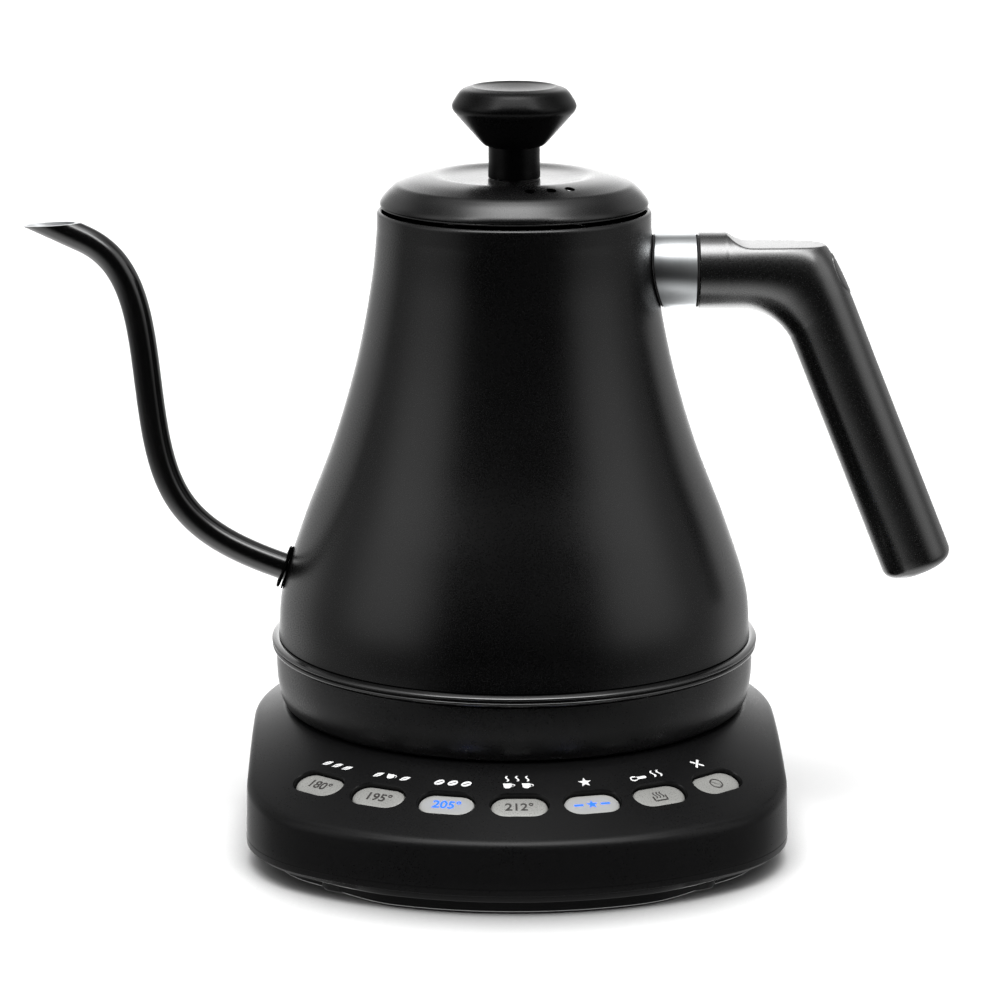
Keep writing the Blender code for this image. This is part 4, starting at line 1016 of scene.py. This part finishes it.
def make_housing():
    """Upper shell with a soft crest, seven chamfered wells and the cord outlet."""
    seam = SEAM_Z + SEAM_GAP / 2
    hole = 17.5
    under = SEAT_Z - HOUSING_WALL
    rings = [
        around(lambda a: (outline_radius(a, 0.35), seam)),
        around(lambda a: (outline_radius(a, 0.08), seam + 0.12)),
        around(lambda a: (outline_radius(a), seam + 0.5)),
        around(lambda a: (outline_radius(a, 0.1), seam + 5)),
    ]
    rings += [around(lambda a, t=t: crest_point(a, t / 8)) for t in range(9)]
    rings += [around(lambda a, k=k: slope_point(a, k / 10)) for k in range(1, 10)]
    rings += [
        around(lambda a: (SEAT_R + 0.5, SEAT_Z - 0.2)),
        around(lambda a: (SEAT_R - 0.6, SEAT_Z)),
        around(lambda a: (hole + 0.5, SEAT_Z)),
        around(lambda a: (hole, SEAT_Z - 0.5)),
        around(lambda a: (hole, under)),
        around(lambda a: (SEAT_R - 1, under)),
        around(lambda a: (outline_radius(a, 4), panel_height(outline_radius(a, 4)) - 2.9)),
        around(lambda a: (outline_radius(a, HOUSING_WALL), panel_height(outline_radius(a)) - 6)),
        around(lambda a: (outline_radius(a, HOUSING_WALL), seam)),
    ]
    housing = loft("base_shell", rings, closed=True)
    chamfer = 0.4
    flare = 1.2
    cutters = []
    for index in range(BUTTON_COUNT):
        layers = (
            (WELL_LENGTH, WELL_WIDTH, -7), (WELL_LENGTH, WELL_WIDTH, -chamfer),
            (WELL_LENGTH + 2 * (flare + chamfer), WELL_WIDTH + 2 * (flare + chamfer), flare),
        )
        cutters.append(pill_layers(f"guide_well_{index}", layers, button_frame(index)))
    rear = placed(0, BASE_HALF_W - 8, CORD_Z, -pi / 2, "X")
    outlet = [(0, 0), (5.3, 0), (5.3, 12), (0, 12)]
    cutters.append(turned("guide_outlet", outlet, steps=48, matrix=rear))
    carve(housing, cutters)
    stand_for(housing, "base_housing")


def make_tray():
    """Lower tray: a tapering band, a set-back plinth, screw and foot recesses."""
    rim = SEAM_Z - SEAM_GAP / 2
    band = 4.2
    low = foot("base_pan")
    rings = [
        around(lambda a: (outline_radius(a, plinth_inset(a) + 0.6), low)),
        around(lambda a: (outline_radius(a, plinth_inset(a) + 0.1), low + 0.4)),
        around(lambda a: (outline_radius(a, plinth_inset(a) - 0.2), band)),
        around(lambda a: (outline_radius(a, plinth_inset(a) * 0.4), band)),
        around(lambda a: (outline_radius(a, plinth_inset(a) * 0.28), band + 0.4)),
        around(lambda a: (outline_radius(a), rim - 0.7)),
        around(lambda a: (outline_radius(a, 0.08), rim - 0.12)),
        around(lambda a: (outline_radius(a, 0.35), rim)),
        around(lambda a: (outline_radius(a, HOUSING_WALL), rim)),
        around(lambda a: (outline_radius(a, HOUSING_WALL + 3.5), PAN_FLOOR)),
    ]
    tray = loft("base_tray", rings)
    cutters = []
    hole = ((0, -1), (3.1, -1), (3.1, 2.4), (1.6, 2.4), (1.6, 8), (0, 8))
    for number, (x, y) in enumerate(SCREW_SPOTS):
        cutters.append(turned(f"guide_screw_{number}", hole, steps=32, matrix=placed(x, y, 0)))
    for number, (x, y) in enumerate(FOOT_SPOTS):
        spot = placed(x, y, 0, atan2(x, -y))
        layers = ((15.6, 9.6, -1), (15.6, 9.6, 2.7))
        cutters.append(pill_layers(f"guide_foot_{number}", layers, spot))
    carve(tray, cutters)
    stand_for(tray, "base_pan", finishes=("tray_black",))


def make_feet():
    """Soft pads with eased edges, pressed into the tray."""
    for number, (x, y) in enumerate(FOOT_SPOTS, 1):
        spot = placed(x, y, 0, atan2(x, -y))
        layers = []
        for inset, height in ((0.9, 0.0), (0.35, 0.15), (0.0, 0.6), (0.0, 2.4)):
            layers.append((15 - 2 * inset, 9 - 2 * inset, height))
        stand_for(pill_layers(f"rubber_pad_{number}", layers, spot), f"foot_{number}")


def make_post():
    """Round connector on the base, with its ring groove and centre hole."""
    high = top("base_post")
    low = foot("base_post")
    edge = 17.2
    shelf = low + 2
    groove = high - 5
    outline = eased([
        (2, high, HAIR), (9, high, 0.3), (9, groove, 0), (12.5, groove, 0),
        (12.5, high, 0.3), (edge - 0.6, high, 0.8), (edge, high - 1.6, 0.6),
        (edge, shelf, 0), (reach("base_post"), shelf, 0), (reach("base_post"), low, 0), (2, low, 0),
    ], closed=True)
    stand_for(turned("power_post", outline, closed=True, steps=96), "base_post")
    ring = eased([
        (9.4, top("contact_ring"), HAIR), (12.1, top("contact_ring"), HAIR),
        (12.1, foot("contact_ring"), 0), (9.4, foot("contact_ring"), 0),
    ], closed=True)
    stand_for(turned("power_ring", ring, closed=True, steps=96), "contact_ring")


def make_gland():
    """Flanged bush where the power cord leaves."""
    face = BASE_HALF_W
    outline = eased([
        (3.6, face + 2.2, 0.5), (6.6, face + 2.2, 0.9), (6.6, face + 0.3, 0.2),
        (5, face + 0.3, 0), (5, face - 7, 0.3), (3.6, face - 7, 0.3),
    ], closed=True)
    place = placed(0, 0, CORD_Z, -pi / 2, "X")
    stand_for(turned("cord_bush", outline, closed=True, steps=64, matrix=place), "cord_gland")


def make_button(index):
    """A crowned cap with an eased edge, its retaining lip and its stem."""
    length = WELL_LENGTH - 2 * BUTTON_GAP
    width = WELL_WIDTH - 2 * BUTTON_GAP
    lip = -4.2
    layers = []
    crown = (
        (3.4, 0.3), (2.2, 0.27), (1.2, 0.2), (0.7, 0.1),
        (0.45, 0.0), (0.25, -0.12), (0.1, -0.3), (0.0, -0.55),
    )
    for inset, rise in crown:
        layers.append((length - 2 * inset, width - 2 * inset, rise - BUTTON_RECESS))
    layers += [
        (length, width, lip), (length + 2.6, width + 2.6, lip),
        (length + 2.6, width + 2.6, lip - 1.2), (4.4, 4, lip - 1.2),
        (4.4, 4, -11),
    ]
    place = button_frame(index)
    cap = pill_layers(f"button_cap_{index + 1}", layers, place)
    lit = index + 1 in LIT_BUTTONS
    if lit:
        back = place.inverted()
        glow = cap.data.attributes.new("glow", "FLOAT", "POINT")
        for vertex, value in zip(cap.data.vertices, glow.data):
            spot = back @ (vertex.co / MM)
            value.value = max(0.0, 1.0 - hypot(spot.x / 9, spot.y / 4.6))
    stand_for(cap, f"button_{index + 1}", finishes=("button_lit",) if lit else ("button_grey",))


# ---------------------------------------------------------- printed marks

def circle(x, y, radius, steps=20):
    """Outline of a circle."""
    return [(x + radius * cos(a), y + radius * sin(a)) for a in turns(steps)]


def bar(x, y, length, width):
    """Outline of a level bar with rounded ends."""
    return [(x + px, y + py) for px, py in pill(length, width, 6)]


def moved(outline, x, y, turn=0.0):
    """An outline turned about its origin and then moved."""
    return [(x + px * cos(turn) - py * sin(turn), y + px * sin(turn) + py * cos(turn)) for px, py in outline]


def slanted(x, y, length, degrees, width=0.6):
    """Outline of a bar turned about its middle."""
    return moved(bar(0, 0, length, width), x, y, radians(degrees))


def leaf(x, y, size):
    """A pointed leaf with a slit for its rib."""
    steps = 10
    half = [(size * (2 * i / steps - 1), 0.42 * size * sin(pi * i / steps)) for i in range(steps + 1)]
    blade = half + [(px, -py) for px, py in reversed(half[1:-1])]
    rib = bar(-0.15 * size, 0, 1.0 * size, 0.12 * size)
    return [moved(outline, x, y, radians(35)) for outline in (blade, rib)]


def bean(x, y, size):
    """An oval bean with a slit down its middle."""
    hull = [(size * cos(a), 0.66 * size * sin(a)) for a in turns(20)]
    slit = bar(0, 0, 1.4 * size, 0.2 * size)
    return [moved(outline, x, y, radians(30)) for outline in (hull, slit)]


def star(x, y, size):
    """A five-pointed star."""
    points = []
    for i in range(10):
        radius = size if i % 2 == 0 else 0.42 * size
        angle = pi / 2 + pi * i / 5
        points.append((x + radius * cos(angle), y + radius * sin(angle)))
    return [points]


def cup(x, y, size):
    """A cup seen from the side, with an ear."""
    corners = ((-1, 0.7), (0.7, 0.7), (0.55, -0.45), (0.2, -0.8), (-0.5, -0.8), (-0.85, -0.45))
    body = [(x + px * size, y + py * size) for px, py in corners]
    return [body] + [circle(x + 0.95 * size, y + 0.1 * size, share * size) for share in (0.42, 0.22)]


def wave(x, y, height, width, swing):
    """A rising wavy line."""
    steps = 12
    middle = [(swing * sin(2 * pi * i / steps), height * (i / steps - 0.5)) for i in range(steps + 1)]
    right = [(x + px + width / 2, y + py) for px, py in middle]
    left = [(x + px - width / 2, y + py) for px, py in reversed(middle)]
    return [right + left]


def ring(x, y, radius, width):
    """A ring."""
    return [circle(x, y, radius, 32), circle(x, y, radius - width, 32)]


def label_outlines(index):
    """White marks over each button: drinks, heat and stop."""
    return (
        leaf(-3.2, 0, 1.5) + leaf(0, 0, 1.5) + leaf(3.2, 0, 1.5),
        leaf(-3.4, 0, 1.5) + cup(0, 0, 1.1) + leaf(3.8, 0, 1.5),
        bean(-3.3, 0, 1.3) + bean(0, 0, 1.3) + bean(3.3, 0, 1.3),
        cup(-2.6, -0.2, 1.2) + cup(1.9, -0.2, 1.2) + wave(-2.8, 2.4, 2.0, 0.45, 0.3)
        + wave(-0.4, 2.4, 2.0, 0.45, 0.3) + wave(2.0, 2.4, 2.0, 0.45, 0.3),
        star(0, 0, 1.7),
        [circle(-3.6, -0.6, 0.95, 32), bar(-2.2, -0.6, 4.0, 0.9)] + wave(2.0, 0, 2.4, 0.5, 0.35)
        + wave(3.7, 0, 2.4, 0.5, 0.35),
        [slanted(-0.2, 0, 3.6, 45), slanted(-0.95, 0.75, 1.5, -45), slanted(0.55, -0.75, 1.5, -45)],
    )[index]


def cap_outlines(index):
    """Marks on the caps that carry no number."""
    if index == 4:
        return star(0, 0, 1.75) + [bar(-4.1, 0, 2.9, 0.75), bar(4.1, 0, 2.9, 0.75)]
    if index == 5:
        tray = [bar(0, -1.9, 4.6, 0.5), slanted(-2.1, -0.9, 2.3, 90, 0.5), slanted(2.1, -0.9, 2.3, 90, 0.5)]
        return tray + [w for x in (-1.1, 0.0, 1.1) for w in wave(x, 0.6, 2.8, 0.4, 0.3)]
    return ring(0, 0, 2.2, 0.45) + [slanted(0, 0, 3.5, -50, 0.45)]


def flat_mark(name, outlines, matrix, size=1.0):
    """Thin printed mark from closed outlines; inner ones are holes."""
    curve = bpy.data.curves.new(name, "CURVE")
    curve.dimensions = "2D"
    curve.fill_mode = "BOTH"
    curve.extrude = PRINT_THICK * MM
    for outline in outlines:
        spline = curve.splines.new("POLY")
        spline.points.add(len(outline) - 1)
        for point, (x, y) in zip(spline.points, outline):
            point.co = (x * size * MM, y * size * MM, 0, 1)
        spline.use_cyclic_u = True
    return mark_mesh(name, curve, matrix)


def number_mark(name, text, matrix):
    """A temperature as a thin printed mark."""
    curve = bpy.data.curves.new(name, "FONT")
    curve.body = text
    curve.size = 4.6 * MM
    curve.align_x = "CENTER"
    curve.align_y = "CENTER"
    curve.offset = 0.085 * MM
    curve.extrude = PRINT_THICK * MM
    return mark_mesh(name, curve, matrix)


def mark_mesh(name, curve, matrix):
    """Turn a mark's curve, in metres, into a closed mesh in its place."""
    guide = bpy.data.objects.new(name + "_guide", curve)
    bpy.context.scene.collection.objects.link(guide)
    bpy.context.view_layer.update()
    evaluated = guide.evaluated_get(bpy.context.evaluated_depsgraph_get())
    mesh = bpy.data.meshes.new_from_object(evaluated)
    bpy.data.objects.remove(guide, do_unlink=True)
    turn = matrix.to_3x3().to_4x4()
    mesh.transform(Matrix.Translation(matrix.translation * MM) @ turn)
    mesh.name = name
    thing = bpy.data.objects.new(name, mesh)
    bpy.context.scene.collection.objects.link(thing)
    return thing


def put_mark(mark, finish, body):
    """Give a mark its ink and its body."""
    mark.data.materials.clear()
    mark.data.materials.append(FINISHES[finish])
    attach(mark, body)


def make_marks():
    """White marks on the panel, and grey or lit blue ones on the caps."""
    numbers = {0: "180°", 1: "195°", 2: "205°", 3: "212°"}
    for index in range(BUTTON_COUNT):
        place = button_frame(index, LABEL_RING_R)
        label = flat_mark(f"panel_mark_{index + 1}", label_outlines(index), place, LABEL_SIZE)
        back = place.inverted()
        for vertex in label.data.vertices:
            spot = vertex.co / MM
            lift = (back @ spot).z
            vertex.co.z = (panel_height(hypot(spot.x, spot.y)) + PRINT_THICK / 2 + lift) * MM
        put_mark(label, "white_print", "base")
        on_cap = button_frame(index) @ Matrix.Translation((0, 0, 0.33 - BUTTON_RECESS))
        if index in numbers:
            mark = number_mark(f"cap_mark_{index + 1}", numbers[index], on_cap)
        else:
            mark = flat_mark(f"cap_mark_{index + 1}", cap_outlines(index), on_cap)
        lit = index + 1 in LIT_BUTTONS
        put_mark(mark, "blue_print" if lit else "grey_print", f"key_{index + 1}")


# ------------------------------------------------------------------ studio

def make_floor():
    """A wide pale floor with a very faint unevenness and a painted soft dark contact shadow: ambient
    occlusion darkens its colour near the kettle.
    """
    size = 9000
    corners = [(-size, -size, 0), (size, -size, 0), (size, size, 0), (-size, size, 0)]
    floor = mesh_object("studio_floor", corners, [(0, 1, 2, 3)])
    finish = Finish("studio_floor")
    # Painted shadow: ambient occlusion round a normal leaned back towards the kettle darkens the floor's
    # colour near the base, most of all in front.
    backward = finish.node("CombineXYZ", {"Y": 0.85, "Z": 0.53})
    feeds = {"Distance": 32 * MM, "Normal": backward.outputs["Vector"]}
    painted_shadow_ao = finish.node("AmbientOcclusion", feeds)
    pale = finish.span(finish.noise(3.0, 3.0), 0.95, 1.0)
    unshadowed_share = finish.span(painted_shadow_ao.outputs["AO"], 0.0, 1.0, 0.3, 0.8)
    share = finish.combine("MULTIPLY", unshadowed_share, pale)
    finish.feed("Base Color", finish.blend(share, (0.3, 0.3, 0.3), (0.9, 0.9, 0.9)))
    finish.feed("Roughness", 0.9)
    finish.feed("Specular IOR Level", 0.0)
    floor.data.materials.append(finish.material)
    floor.visible_glossy = False


class Sky:
    """The studio's light as a function of direction, built from nodes."""

    def __init__(self):
        world = bpy.data.worlds.new("studio")
        bpy.context.scene.world = world
        world.use_nodes = True
        self.tree = world.node_tree
        self.background = self.tree.nodes["Background"]
        self.background.inputs["Color"].default_value = (1.0, 1.0, 1.0, 1.0)
        way = add_node(self.tree, "TexCoord", {}).outputs["Generated"]
        split = add_node(self.tree, "SeparateXYZ", {0: way})
        across = self.math("ABSOLUTE", split.outputs["X"])
        forward = self.math("MULTIPLY", split.outputs["Y"], -1.0)
        self.side = self.math("ARCTAN2", across, forward)
        self.rise = self.math("ARCSINE", split.outputs["Z"])
        self.pitch = self.math("ARCTAN2", split.outputs["Z"], forward)
        self.lean = self.math("ARCSINE", across)

    def math(self, operation, *terms):
        """A sum made by a node; each term is an output or a number."""
        return add_node(self.tree, "Math", dict(enumerate(terms)), operation=operation).outputs[0]

    def ramp(self, value, start, stop, low=0.0, high=1.0):
        """A smooth step between two angles in degrees."""
        feeds = {"Value": value, "To Min": low, "To Max": high}
        feeds.update({"From Min": radians(start), "From Max": radians(stop)})
        return add_node(self.tree, "MapRange", feeds, interpolation_type="SMOOTHSTEP").outputs["Result"]

    def window(self, value, start, full, hold, stop):
        """Rises from start to full, holds, and falls to nothing at stop."""
        return self.math("MULTIPLY", self.ramp(value, start, full), self.ramp(value, hold, stop, 1.0, 0.0))

    def light(self, parts):
        """Add up lights, each a strength and the windows that shape it."""
        total = 0.0
        for strength, *shapes in parts:
            term = strength
            for shape in shapes:
                term = self.math("MULTIPLY", shape, term)
            total = self.math("ADD", term, total)
        return total


def make_studio():
    """Soft boxes at both sides and above, a pale backdrop and a dark camera side."""
    sky = Sky()
    light = sky.light((
        (0.01,),
        (1.0, sky.window(sky.side, 34, 60, 72, 98), sky.window(sky.rise, -20, 22, 40, 58)),
        (5.6, sky.window(sky.side, 34, 46, 50, 62), sky.window(sky.rise, 33, 46, 52, 66)),
        (0.27, sky.ramp(sky.side, 60, 100), sky.ramp(sky.rise, 26, 50, 1.0, 0.0)),
        (0.35, sky.ramp(sky.side, 108, 128), sky.ramp(sky.rise, 26, 50, 1.0, 0.0)),
        (2.0, sky.ramp(sky.side, 154, 178), sky.ramp(sky.rise, 14, 50, 1.0, 0.0)),
        (0.9, sky.window(sky.pitch, 40, 70, 102, 138), sky.ramp(sky.lean, 22, 48, 1.0, 0.15)),
        (7.5, sky.window(sky.pitch, 55, 67, 84, 100), sky.ramp(sky.lean, 6, 34, 1.0, 0.0)),
        (1.2, sky.ramp(sky.rise, -14, -58)),
    ))
    paths = add_node(sky.tree, "LightPath", {})
    seen = sky.math("MAXIMUM", paths.outputs["Is Camera Ray"], light)
    sky.tree.links.new(seen, sky.background.inputs["Strength"])


def make_camera():
    """The photograph's view: a long lens, a little above the lid's height."""
    data = bpy.data.cameras.new("camera")
    data.sensor_width = 36.0
    data.lens = 139.45
    data.shift_x = -0.0142
    data.clip_end = 50.0
    camera = bpy.data.objects.new("camera", data)
    bpy.context.scene.collection.objects.link(camera)
    distance = 1.1859
    turn = radians(-1.0)
    camera.location = (distance * sin(turn), -distance * cos(turn), 0.3789)
    camera.rotation_euler = (pi / 2 - 0.23082, 0.0, turn)
    bpy.context.scene.camera = camera


# ------------------------------------------------------------------- build

def build():
    """Every piece, then the finishes of the CAD nodes that stay."""
    make_vessel()
    make_trim_ring()
    make_skirt()
    make_underside()
    make_spout()
    make_flange()
    make_ferrule()
    make_handle()
    make_lid_cover()
    make_knob()
    make_lid_pan()
    make_housing()
    make_tray()
    make_feet()
    make_post()
    make_gland()
    for index in range(BUTTON_COUNT):
        make_button(index)
    make_marks()
    for name, node in NODES.items():
        node.data.materials.clear()
        node.data.materials.append(FINISHES[SLOT_OF[name]])


def write_sizes():
    """Does nothing but import json."""
    import json


build()
make_floor()
make_studio()
make_camera()
bpy.context.scene.view_settings.view_transform = "Standard"
write_sizes()
